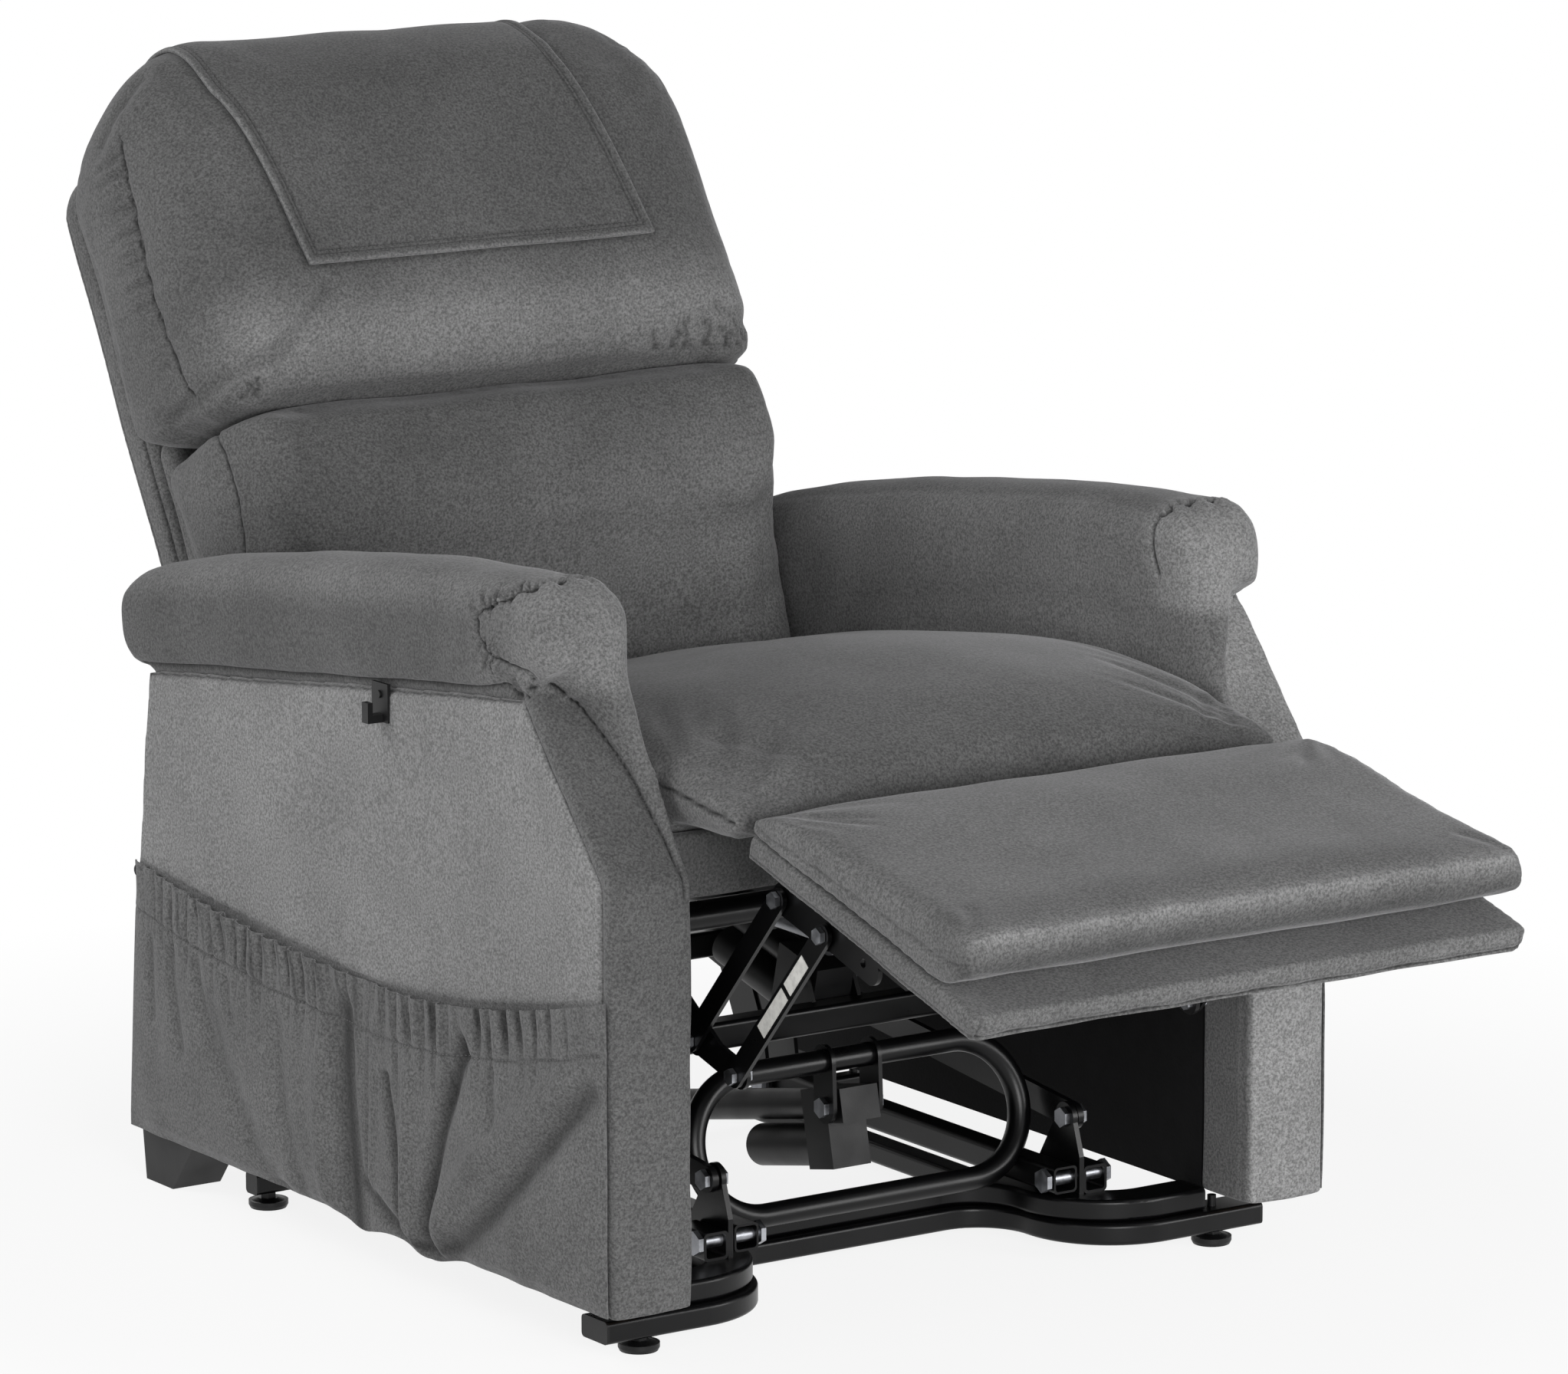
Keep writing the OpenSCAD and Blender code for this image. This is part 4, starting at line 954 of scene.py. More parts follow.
def make_head_cloth():
    """Cloth laid over the head cushion and hanging down its front, hemmed and twice stitched."""
    wide = size("headcloth_width")
    grid = laid_grid(wide)
    long_m = float(np.linalg.norm(np.diff(grid[CLOTH_COLUMNS // 2], axis=0), axis=1).sum())
    grid = hemmed(grid, wide, 56)
    grid = hemmed(grid.transpose(1, 0, 2), long_m / MM, 160).transpose(1, 0, 2)
    obj = sheet_mesh("antimacassar", grid, 2.6)
    rim = spline(np.vstack([grid[0], grid[1:, -1], grid[-1, ::-1], grid[::-1, 0]]), 1.5 * MM)
    d = near(coords(obj), rim, 20 * MM)[0] / MM
    # the turned hem is a ridge along the edge, drawn down at its two rows of stitches
    rib = 0.9 * bell(d - 4, 3.4) - 0.7 * bell(d - 8, 1.2) - 0.8 * bell(d - 12, 1.3)
    set_coords(obj, coords(obj) + normals(obj) * (rib * MM)[:, None])
    # painted shade along the two rows of stitches
    shaded(obj, 0.42 * bell(d - 8, 1.0) + 0.5 * bell(d - 12, 1.1))
    # painted highlight on the edge of the hem, and faint painted shade over the rest of the cloth
    paint_light_and_shade(obj, -0.12 + 0.75 * bell(d, 2.2))
    rows = hem_stitches(obj, grid)
    cover = bpy.data.objects["head_cover"]
    # painted shadow on the head cover along the cloth's edge
    shaded(cover, 0.6 * bell(near(coords(cover), rim, 14 * MM)[0], 4.5 * MM))
    dressed(obj, body="backrest", replaces=("head_cloth",))
    stitched("antimacassar_stitches", rows, "backrest")


# ---------- footrest and back ----------
FOOT_PROFILE = [(-3, 71), (-1, 79), (-7, 86), (-30, 96), (-82, 105), (-140, 109), (-194, 113),
                (-250, 119), (-280, 123.5), (-297, 126), (-307, 124.5), (-313, 117), (-315.5, 107),
                (-315, 97), (-309, 87), (-298, 79), (-284, 72), (-262, 69.2), (-200, 68.4),
                (-100, 68.4), (-20, 68.4)]
FOOT_SEAM = [(-8, 77), (-80, 82), (-180, 88), (-270, 94), (-308, 100)]


def make_footrest_pad():
    """Legrest cushion: a firm box with crisp edges, thicker towards the feet."""
    mid, half, crown = (-157, 96), (158, 30), 9

    def raised(x, y, z):
        return (crown * math.cos(math.pi / 2 * min(1, abs(x) / 286)) ** 0.9
                * max(0, (z - mid[1]) / half[1]) * (1 - 0.75 * smooth_step(-250, -312, y)))

    obj = boxed("footrest_cushion", on_board, closed_curve(FOOT_PROFILE, 4), mid, half, 285, 11,
                (5, 4, 3, 9), raised)
    seams = both_sides(on_board, 285, FOOT_SEAM)
    front_top = on_board([(x, -308, 124) for x in np.linspace(-272, 272, 9)])
    stuffed(obj, seams + [front_top], voxel=4.5, share=0.35, pin_width=9)
    groove(obj, seams, 1.2, 2.2, 0.5)
    groove(obj, [front_top], -1.2, 3.5)
    for s, line in zip(SIDES, seams):
        pleated(obj, line, (0, 0, 1), 52, 26, 0.5, 2.0 * s)
    groove(obj, [on_board([(s * 280, -312, 118), (s * 270, -296, 121), (s * 252, -262, 119)])
                 for s in SIDES], 1.8, 7)
    pleated(obj, front_top, (0, 0, -1), 70, 20, 0.5, 1.0)
    uneven(obj, 75, 1.6, 11.0)
    # painted light over the pad, a painted highlight on the front edge, and painted shade a little away
    # from that edge and on the front below it
    edge, _ = near(coords(obj), spline(front_top, 4 * MM), 120 * MM)
    below = spline(on_board([(x, -316, 98) for x in np.linspace(-280, 280, 9)]), 4 * MM)
    front, _ = near(coords(obj), below, 60 * MM)
    paint_light_and_shade(obj, 0.1 + 0.4 * bell(edge, 8 * MM) - 0.22 * bell(edge / MM - 34, 22)
            - 0.34 * bell(front, 17 * MM))
    dressed(obj, body="footrest", replaces=("footrest_pad",))


def make_footrest_board():
    """Upholstered legrest board: its front edge and corners show below the pad."""
    front, half = -333, 283
    outline = [(front, 44), (front, 67), (0, 67), (0, 44)]
    obj = rounded_slab("footrest_board_cover", outline, (-half, half), 5, on_board)
    evenly(obj, 3.5)
    subdivided(obj)
    low = on_board([(x, front, 48) for x in (-278, -140, 0, 140, 278)])
    sewn(obj, [low], 2.2)
    groove(obj, both_sides(on_board, half, [(-330, 48), (-180, 48), (-4, 48)]), 1.5, 2.5, 0.8)
    pleated(obj, low, (0, 0, 1), 62, 16, 0.3)
    groove(obj, [on_board([(s * 276, front - 1, 64), (s * 279, front - 1, 46)]) for s in SIDES],
           1.6, 3, 0.5)
    uneven(obj, 60, 1.2, 2.0)
    dressed(obj, body="footrest", replaces=("footrest_board",), most=FLAT_TRIANGLES)
    fold = on_board([(x, front - 0.5, 52.5) for x in np.linspace(-274, 274, 12)])
    stitched("footrest_board_stitches", [laid_on(obj, fold, 0.3)], "footrest")


def make_seat_front():
    """Front rail under the seat, wrapped in cloth."""
    outline = [(47, 390), (47, 447), (61.5, 447), (61.5, 390)]
    obj = rounded_slab("front_rail_cover", outline, (-291, 291), 4, place)
    evenly(obj, 4)
    uneven(obj, 60, 1.2, 4.0)
    # painted shade on the rail, which lies under the seat
    paint_light_and_shade(obj, -0.35)
    dressed(obj, replaces=("seat_front_board",))


def make_back_shell():
    """Padded outside back with a seam around its edge, and the cloth that closes the gap between it and
    the cushions."""
    half, top, bottom, r = 272, 612, 20, 40
    corners = ((half - r, top - r), (r - half, top - r), (r - half, bottom + r), (half - r, bottom + r))
    outline = [(x + r * math.cos(math.radians(a)), z + r * math.sin(math.radians(a)))
               for turn, (x, z) in enumerate(corners) for a in range(90 * turn, 90 * turn + 91, 15)]

    def frame_of(p):
        return on_back(np.column_stack([p[:, 1], p[:, 0], p[:, 2]]))

    obj = rounded_slab("back_cover", outline, (74, 122), 14, frame_of)
    evenly(obj, 6)
    subdivided(obj)
    sewn(obj, [on_back([(x, depth, z) for x, z in outline + outline[:1]]) for depth in (112, 82)])
    groove(obj, [on_back([(0, 122, 60), (0, 122, 590)])], 2.5, 3, 1.0)
    uneven(obj, 110, 3.0, 6.0)
    dressed(obj, body="backrest", replaces=("back_shell",), most=FLAT_TRIANGLES)

    core = rounded_slab("back_inner_cover", [(-264, 26), (-264, 330), (264, 330), (264, 26)], (45, 77), 8,
                        frame_of)
    evenly(core, 6)
    subdivided(core)
    uneven(core, 60, 3.0, 9.0)
    dressed(core, body="backrest", most=HIDDEN_TRIANGLES)


# ---------- arms ----------
# Corners of an arm in the side view
REAR_FOOT, REAR_MID, REAR_TOP = (812, 50), (792, 305), (769, 483)
FRONT_TOP, FRONT_LOW = (121, 562), (0, 420)
# Seam down the front of an arm, beside the flat outer strip
STRIP_SEAM = [(301, 0, 405), (303, 7, 428), (304, 23, 447), (307, 41, 468), (312, 69.5, 502),
              (321, 95, 532), (333, 118, 559), (342, 127, 569), (354, 138, 582)]
# How far the cloth inside that seam comes forward on its way up to the arm rest
NOSE_REACH = [(412, 0), (447, 5), (485, 17), (530, 33), (557, 42), (575, 46), (590, 47)]
# Depth, underside and top of an arm rest
PAD_ROWS = [(124, 562.6, 658), (200, 553, 656.5), (290, 542, 652), (400, 528.6, 640), (544, 511, 621),
            (680, 494.5, 598), (760, 484.6, 580), (788, 486, 571), (801, 500, 562), (806, 520, 553)]
# Seam round the front of an arm rest, from the top of the side panel back, over and down again
PAD_SEAM = [(364, 129, 569), (377, 123, 575), (382, 135, 580), (385, 160, 589), (385, 178, 596),
            (384, 190, 606), (383, 194, 618), (381, 186, 628), (378, 170, 635), (372, 152, 642),
            (362, 138, 649), (347, 130, 654), (325, 131, 656), (305, 138, 650), (292, 143, 640),
            (287, 141, 618), (288, 134, 596)]
# Pulls in the cloth of a side panel, and hollows in the outer and inner side of an arm rest
PANEL_PULLS = [[(375, 160, 545), (375, 200, 520), (375, 260, 500)],
               [(375, 640, 480), (375, 700, 455), (375, 752, 440)],
               [(375, 60, 430), (375, 110, 462), (375, 150, 505)]]
OUTER_HOLLOWS = [[(383, 300, 600), (382, 330, 575)], [(380, 560, 585), (383, 600, 560), (381, 640, 540)],
                 [(383, 240, 636), (384, 262, 600), (383, 272, 570)]]
INNER_HOLLOWS = [[(288, 200, 548), (288, 330, 546), (288, 480, 520), (288, 600, 498)],
                 [(290, 230, 500), (290, 360, 505), (290, 520, 488)]]


def top_line(y):
    """Height of an arm's sloping top edge at a depth."""
    slope = (REAR_TOP[1] - FRONT_TOP[1]) / (REAR_TOP[0] - FRONT_TOP[0])
    return FRONT_TOP[1] + slope * (y - FRONT_TOP[0])


def front_lean(z):
    """Depth of an arm's front edge at a height, as if it went on leaning back below its knee too."""
    return (z - FRONT_LOW[1]) * FRONT_TOP[0] / (FRONT_TOP[1] - FRONT_LOW[1])


def front_line(z):
    """Depth of an arm's front edge at a height."""
    return np.where(z < FRONT_LOW[1], 0, front_lean(z))


def strip_seam_x(z):
    """How far across the seam beside the front strip runs at a height."""
    return np.interp(z, [q[2] for q in STRIP_SEAM], [q[0] for q in STRIP_SEAM])


def either_side():
    """Each arm's name, sign and the function that places points given for the right one."""
    for side, sign in (("left", -1), ("right", 1)):
        yield side, sign, lambda p, sign=sign: place(np.asarray(p, float) * (sign, 1, 1))


def make_arm_panels():
    """Outer side of each arm: foam-backed cloth pulled over the frame, sewn along the front strip."""
    outline = [(16.5, 50), (16.5, 420), (137, top_line(137)), REAR_TOP, REAR_MID, REAR_FOOT]
    for side, sign, frame_of in either_side():
        obj = rounded_slab(f"arm_panel_cover_{side}", outline, (HALF_W - 12, HALF_W), 5, frame_of)
        evenly(obj, 5)
        subdivided(obj)
        p = unplaced(obj)
        # foam fills the panel a little between its seams
        belly = (smooth_step(16, 90, p[:, 1]) * smooth_step(800, 700, p[:, 1])
                 * smooth_step(0, 70, top_line(p[:, 1]) - p[:, 2]) * (np.abs(p[:, 0]) > HALF_W - 6))
        p[:, 0] += sign * 2.5 * belly
        set_coords(obj, place(p))
        groove(obj, [frame_of(line) for line in PANEL_PULLS], 1.3, 16)
        uneven(obj, 120, 2.2, 7.0 + sign)
        # behind the pockets the cloth stays flat
        p = unplaced(obj)
        behind = p[:, 2] < np.array([pocket_top(y) for y in p[:, 1]]) + 3
        p[:, 0] = np.where(behind, sign * np.minimum(np.abs(p[:, 0]), HALF_W), p[:, 0])
        set_coords(obj, place(p))
        # painted light over the whole outer side panel
        paint_light_and_shade(obj, 0.7)
        dressed(obj, replaces=(f"arm_panel_{side}",), most=FLAT_TRIANGLES)


def make_arm_backs():
    """Cloth pulled over the rear edge of each arm, between its two sides."""
    outline = [(803, 53), (783, 305), (761, 478), (766, 482), (788.5, 305), (808.5, 53)]
    for side, sign, frame_of in either_side():
        obj = rounded_slab(f"arm_back_cover_{side}", outline, (ARM_IN + 1, HALF_W - 1), 2, frame_of)
        evenly(obj, 4)
        groove(obj, [frame_of([(334, 809, 60), (334, 789, 300), (334, 766, 476)])], 1.0, 14)
        uneven(obj, 60, 1.4, 30.0 + sign)
        dressed(obj)


def arm_rest_rings(frame_of):
    """Rings along an arm rest from its low domed front to its blunt rear."""
    front, rear = PAD_ROWS[0][0], 788
    rows = np.array(PAD_ROWS, float)
    rings = []
    for a in np.linspace(math.radians(87), 0, 12, endpoint=False):
        s, c = math.sin(a), math.cos(a)
        rings.append((front - 41 * s, 610 - 20 * s * s, 47.7 * c ** 0.6, 47 * c ** 0.5, c ** 0.5,
                      9 * s * s))
    for y in list(np.linspace(front, rear, 52)) + [795, 800, 803, 805, 806]:
        low, high = np.interp(y, rows[:, 0], rows[:, 1]), np.interp(y, rows[:, 0], rows[:, 2])
        end = math.sqrt(max(0.0, 1 - max(0.0, (y - rear) / 18.5) ** 2))
        rings.append((y, (low + high) / 2, (high - low) / 2, 41 + 6 * end, 1.0, 0.0))
    skins = []
    for y, mid, tall, wide, boxy, inner in rings:
        early = 1 - float(smooth_step(118, 205, y))
        ring = []
        for t in np.linspace(0, 2 * math.pi, 56, endpoint=False):
            c, s = math.cos(t), math.sin(t)
            k = 1 + ((0.24 + 0.4 * early if s < 0 else 0.72) - 1) * boxy
            # the foot is drawn in to the side panel, most at the domed end, but runs straight down inside
            foot = 1 - ((0.13 + 0.22 * early if c > 0 else 0.05 * boxy)
                        * float(smooth_step(0.1, -1, s)))
            ring.append((ARM_MID - inner + wide * foot * math.copysign(abs(c) ** k, c), y,
                         mid + tall * math.copysign(abs(s) ** k, s)))
        skins.append(frame_of(ring))
    return skins


def front_strip(frame_of):
    """Front of an arm: flat outside its seam, and swelling forward inside it towards the arm rest."""
    outline = [(0, 50), (0, 420), (138, 582), (152, 582), (137, 556), (17, 420), (17, 50)]
    obj = rounded_slab("strip", outline, (ARM_IN, HALF_W), 5, frame_of)
    evenly(obj, 4)
    p = unplaced(obj)
    x, z = np.abs(p[:, 0]), p[:, 2]
    seam_x = strip_seam_x(z)
    reach = np.interp(z, *zip(*NOSE_REACH))
    # 0 at the seam and 1 at the inner edge of the arm
    q = np.clip((seam_x - x) / np.maximum(seam_x - ARM_IN - 2, 4), 0, 1)
    skin = 1 - smooth_step(3, 15, p[:, 1] - front_line(z))
    p[:, 1] -= reach * q ** 0.45 * (1 + 1.6 * (1 - q) * smooth_step(490, 560, z)) * skin
    p[:, 1] -= 3 * skin * np.sin(np.pi * np.clip((x - ARM_IN) / 82, 0, 1)) * (z < 430)
    set_coords(obj, place(p))
    return obj


def arm_skin(name, frame_of):
    """One closed cover round the roll, the front strip, the inner wall and the sole of the roll."""
    inner = [(14, 50), (14, 420), (120, 552), (134, 575), (760, 500), (773.8, 446), (72, 446), (72, 50)]
    under = [(128, 566), (REAR_TOP[0], REAR_TOP[1] + 4), (REAR_TOP[0], REAR_TOP[1] - 10), (128, 548)]
    front = front_strip(frame_of)
    wall = rounded_slab("wall", inner, (ARM_IN - 1, ARM_IN + 9), 3, frame_of)
    sole = rounded_slab("sole", under, (ARM_IN, HALF_W - 9), 2, frame_of)
    obj = joined([loft(name, arm_rest_rings(frame_of)), front, wall, sole])
    evenly(obj, 4)
    p = unplaced(obj)
    x, y, z = np.abs(p[:, 0]), p[:, 1], p[:, 2]
    # the outer half of the domed end leans back onto the top of the strip
    limit = front_lean(z) - 90 * smooth_step(563, 610, z) - 70 * (1 - smooth_step(322, 350, x))
    y = np.where((z > 553) & (z < 630), np.maximum(y, limit), y)
    p[:, 1] = y
    set_coords(obj, place(p))
    above = z - top_line(np.maximum(y, FRONT_TOP[0]))
    inside = ((1 - smooth_step(296, 306, x)) * smooth_step(-45, -12, above)
              * (1 - smooth_step(40, 70, above)))
    nose = (smooth_step(4, -8, x - strip_seam_x(z)) * smooth_step(500, 545, z)
            * (1 - smooth_step(596, 622, z)) * (1 - smooth_step(128, 150, y)))
    melted(obj, np.maximum(inside, nose), 60)
    subdivided(obj)
    return obj


def sew_arm(obj, side, frame_of):
    """Seams, gathers and hollows of an arm cover, and its tuck onto the side panel."""
    sewn(obj, [frame_of(STRIP_SEAM)], 2.2)
    seam = frame_of(PAD_SEAM)
    sewn(obj, [seam], 2.6)
    pleated(obj, seam[3:15], (0, 1, 0.35), 9, 15, 2.0, 0.5)
    pleated(obj, seam[1:7], (0, 0.6, -0.8), 24, 14, 0.4, 1.5)
    pleated(obj, seam[5:14], (0, -1, 0), 26, 22, 1.3, 2.5)
    tuck = [(y, top_line(y) + 1.5) for y in np.linspace(128, 772, 14)]
    # the tuck and the top of the side panel below it get painted shade
    groove(obj, [frame_of([(376.5, y, z) for y, z in tuck])], 4.5, 3.2, 1.0)
    panel = bpy.data.objects[f"arm_panel_cover_{side}"]
    groove(panel, [frame_of([(376, y, z) for y, z in tuck])], 1.0, 3.0, 0.8)
    groove(obj, [frame_of(h) for h in OUTER_HOLLOWS], 1.6, 22)
    groove(obj, [frame_of(h) for h in INNER_HOLLOWS], 2.0, 14)


def arm_painted_light(obj, left):
    """Painted light and painted shade of an arm cover: on the strip, the domed end, the roll's outer
    side, the top of the left arm and the inside of the right one.
    """
    p = unplaced(obj)
    x, y, z = np.abs(p[:, 0]), p[:, 1], p[:, 2]
    face = ((1 - smooth_step(2, 10, y - front_line(z))) * (1 - smooth_step(560, 578, z))
            * smooth_step(-1, 2, x - np.where(z < 430, 0, strip_seam_x(z))))
    dome = (1 - smooth_step(136, 176, y + 0.25 * (650 - z))) * smooth_step(560, 575, z)
    roll = smooth_step(180, 220, y) * smooth_step(330, 372, x) * smooth_step(-2, 6, z - top_line(y))
    crown = smooth_step(612, 650, z + (y - 200) * 0.12) * left
    within = (1 - smooth_step(296, 304, x)) * (not left)
    return (0.25 * within + face * (-0.15 if left else 0.9) + dome * (0.35 if left else 0.7)
            - 0.28 * roll * (1 - crown) + 0.25 * crown)


def make_arm_covers():
    """Cover of each arm: a foam roll on top, a front strip below it, and the cloth inside that seam,
    which runs down from the roll over the inner side without a break."""
    for side, sign, frame_of in either_side():
        obj = arm_skin(f"arm_cover_{side}", frame_of)
        p = unplaced(obj)
        full = (smooth_step(440, 500, p[:, 2]) * smooth_step(790, 700, p[:, 1])
                * smooth_step(40, 160, p[:, 1]) * (1 - smooth_step(296, 302, np.abs(p[:, 0]))))
        p[:, 0] -= sign * 2.5 * full
        set_coords(obj, place(p))
        uneven(obj, 80, 1.8, 20.0 + sign)
        sew_arm(obj, side, frame_of)
        left = side == "left"
        # painted light and painted shade on the cover
        paint_light_and_shade(obj, arm_painted_light(obj, left))
        # the left cover also stands for the facings of both arms
        dressed(obj, replaces=(f"arm_pad_{side}",) + (("arm_facings",) if left else ()))


# ---------- side pockets ----------
CASING = 44
POCKET_SPLIT, POCKET_START, POCKET_END = 387.0, 5, PANEL_DEPTH - 4
# Deep folds of the slack cloth: points as depth and height, depth of the fold, its width and its shade
POCKET_FOLDS = [([(262, 62), (238, 100), (184, 152), (110, 206), (50, 250)], -8.0, 14, 0),
                ([(272, 50), (212, 76), (152, 118), (91, 176), (24, 242)], 8.0, 12, 0.42),
                ([(274, 56), (256, 130), (232, 200), (212, 244)], 9.5, 11, 0.50),
                ([(300, 58), (302, 130), (298, 205)], -8.0, 10, 0),
                ([(322, 74), (330, 142), (347, 192)], 6.0, 7, 0.40),
                ([(380, 84), (374, 176), (371, 240)], -8.0, 9, 0),
                ([(403, 46), (410, 114), (417, 178), (418, 236)], 12.0, 12, 0.58),
                ([(446, 66), (452, 130), (444, 205)], -5.0, 13, 0),
                ([(282, 52), (330, 62), (394, 88)], 7.0, 8, 0.45),
                ([(536, 54), (572, 106), (618, 162), (640, 205)], 4.5, 18, 0.12),
                ([(486, 66), (508, 130), (520, 205)], 4.0, 13, 0.12),
                ([(690, 150), (706, 190), (716, 232)], 4.0, 9, 0.12),
                ([(636, 170), (655, 200), (664, 232)], 3.5, 8, 0.12),
                ([(750, 170), (752, 200), (756, 236)], 3.5, 8, 0.12),
                ([(596, 190), (604, 212), (606, 226)], 3.0, 7, 0.12),
                ([(160, 190), (166, 214), (168, 232)], 3.5, 8, 0.15)]
# Shares of the pocket's height, and of its bulge, at even steps from its foot to its rim
POCKET_RISE = [0, 0.05, 0.16, 0.34, 0.56, 0.78, 0.93, 1]
POCKET_BULGE = [0, 0.62, 0.95, 1, 0.9, 0.74, 0.66, 0.7]
EVEN_STEPS = np.linspace(0, 1, len(POCKET_RISE))


def pocket_top(y):
    return 270 + 54 * ((392 - y) / 388) ** 1.9 if y < 392 else 270 + 34 * ((y - 392) / 406) ** 1.2


def pocket_depth(y, z):
    """Depth of a point of the pocket, whose rear edge leans with the panel's."""
    span = POCKET_END - POCKET_START
    return POCKET_START + (span - (z - 50) * 20 / 255) * (y - POCKET_START) / span


def gathers(y, below, sign):
    """Puffs of a gathered casing: rounded, with sharp uneven valleys, high at a crest, negative in a
    valley."""
    seed = 2.0 + sign
    drift = 9.0 * wander.noise(Vector((y / 34.0, below / 90.0, seed))) + 0.12 * below
    phase = math.pi * (y + drift) / size("ruffle_spacing")
    share = 0.62 + 0.75 * wander.noise(Vector((y / 21.0, below / 60.0, seed + 7.3)))
    # the cloth lies nearly flat where the front facing holds it down
    flat_end = 0.3 + 0.7 * smooth_step(20, 165, y)
    return (abs(math.cos(phase)) ** 0.8 - 0.55) * max(0.12, share) * flat_end


def pocket_column(y, sign):
    """Points from the foot of the pocket up to its rim."""
    share = ((y - POCKET_START) / (POCKET_SPLIT - POCKET_START) if y < POCKET_SPLIT
             else (y - POCKET_SPLIT) / (POCKET_END - POCKET_SPLIT))
    swell = max(0.04, max(0.0, math.sin(math.pi * share)) ** 0.6)
    grip = min(1.0, 0.3 + swell)
    # the slack hangs below the panel in two blunt points beside the seam between the pockets
    sag = 10 * bell(y - 279, 34) + 9 * bell(y - 398, 30) + 5 * bell(y - 340, 120)
    top, foot = pocket_top(y), 53
    column = []
    for v in np.linspace(0, 1, 96):
        z = (foot + (top - foot) * np.interp(v, EVEN_STEPS, POCKET_RISE)
             - sag * (1 - smooth_step(0.12, 0.6, v)) * smooth_step(0, 0.05, v))
        below = top - z
        out = 18 * np.interp(v, EVEN_STEPS, POCKET_BULGE) * swell
        puff = 2.3 * size("ruffle_depth") * gathers(y, below, sign) * (
            math.exp(-(below / 50) ** 4) + 0.3 * bell(below - 55, 28))
        puff *= 1 - 0.6 * bell(below - CASING, 5)
        slack = 2.2 * wander.noise(Vector((y / 30.0, z / 95.0, 5.0 + sign)))
        pinch = -1.8 * bell(below - CASING, 2.2)
        column.append((max(HALF_W + 1.3, HALF_W + 1.6 + out + (puff + slack + pinch) * grip),
                       pocket_depth(y, z), z))
    return column


def fold_pocket(obj, sign, frame_of):
    """Presses the deep folds into the slack cloth and shades them."""
    for points, deep, wide, shade in POCKET_FOLDS:
        line = frame_of([(HALF_W + 14, y, z) for y, z in points])
        p = coords(obj)
        d, _ = near(p * (0, 1, 1), spline(line, 3 * MM) * (0, 1, 1), 3 * wide * MM)
        pull = bell(d, wide * MM) * (d < 3 * wide * MM)
        proud = np.abs(p[:, 0]) / MM - HALF_W
        # a valley never presses the cloth through the panel behind it
        if deep > 0:
            move = np.minimum(deep * pull, np.maximum(0, proud - 2.2) * 0.9)
        else:
            move = deep * pull * np.clip(proud / 12, 0, 1)
        p[:, 0] -= sign * move * MM
        set_coords(obj, p)
        if shade:
            shaded(obj, 1.3 * shade * bell(d, 0.85 * wide * MM))


def casing_line(obj, sign, frame_of, depths):
    """The row of stitches under the casing, laid on the finished cloth."""
    tree = cloth_tree(obj)
    line = []
    for y in depths:
        z = pocket_top(y) - CASING
        start = frame_of([(HALF_W + 60, pocket_depth(y, z), z)])[0]
        hit = tree.ray_cast(Vector(start), Vector((-sign, 0, 0)))
        if hit[0] is not None:
            line.append(np.array(hit[0]) + (sign * 0.2 * MM, 0, 0))
    return np.array(line)


def make_side_pockets():
    """Two pockets on each side: one slack cloth gathered by the elastic in its casing, sewn down at its
    ends and between the pockets."""
    depths = np.linspace(POCKET_START, POCKET_END, 401)
    for side, sign, frame_of in either_side():
        grid = np.array([frame_of(pocket_column(y, sign)) for y in depths])
        obj = sheet_mesh(f"pocket_cloth_{side}", grid, 1.6)
        fold_pocket(obj, sign, frame_of)
        casing = casing_line(obj, sign, frame_of, depths[4:-4])
        # painted shade in the valleys between the gathers and along the row of stitches under the casing
        p = unplaced(obj)
        below = np.array([pocket_top(y) for y in p[:, 1]]) - p[:, 2]
        tone = np.zeros(len(p))
        for i in np.nonzero(below < 75)[0]:
            valley = max(0.0, -gathers(p[i, 1], below[i], sign) * 1.5)
            tone[i] = valley * math.exp(-(below[i] / 56) ** 4)
        d, _ = near(coords(obj), casing, 6 * MM)
        shaded(obj, np.maximum(tone, 0.6 * bell(d, 1.0 * MM)))
        dressed(obj, replaces=(f"pocket_{side}",))
        stitched(f"pocket_stitches_{side}", [casing], "chassis")
        make_press_stud(side, frame_of)


def make_press_stud(side, frame_of):
    """Small black stud that closes the upper rear corner of a pocket."""
    profile = ((0.5, 0), (5.2, 0), (6.0, 0.8), (6.0, 2.0), (5.2, 3.0), (3.4, 3.4), (3.0, 2.4), (0.4, 2.2))
    rings = [frame_of([(HALF_W + 2.5 + h, 783 + r * math.cos(t), 296 + r * math.sin(t))
                       for t in np.linspace(0, 2 * math.pi, 20, endpoint=False)]) for r, h in profile]
    dressed(loft(f"pocket_stud_{side}", rings), "plastic")


def make_link_sticker():
    """Blank two-part sticker on the outer face of the left rear link."""
    top, low = np.array([-117.0, 387.0]), np.array([14.0, 241.0])
    long_way = np.linalg.norm(low - top)
    way = (low - top) / long_way
    beside = np.array([-way[1], way[0]])
    box_faces = ((0, 1, 2, 3), (4, 5, 6, 7), (0, 4, 5, 1), (1, 5, 6, 2), (2, 6, 7, 3), (3, 7, 4, 0))
    verts, faces = [], []
    for start, end in ((0.18, 0.38), (0.41, 0.68)):
        faces += [tuple(len(verts) + i for i in f) for f in box_faces]
        verts += [(x, *(top + way * s * long_way + beside * w)) for x in (-244.05, -244.55)
                  for s, w in ((start, -6.5), (end, -6.5), (end, 6.5), (start, 6.5))]
    obj = tidy(mesh_object("link_sticker", place(verts), faces, smooth=False))
    dressed(obj, "paper", "rear_links")


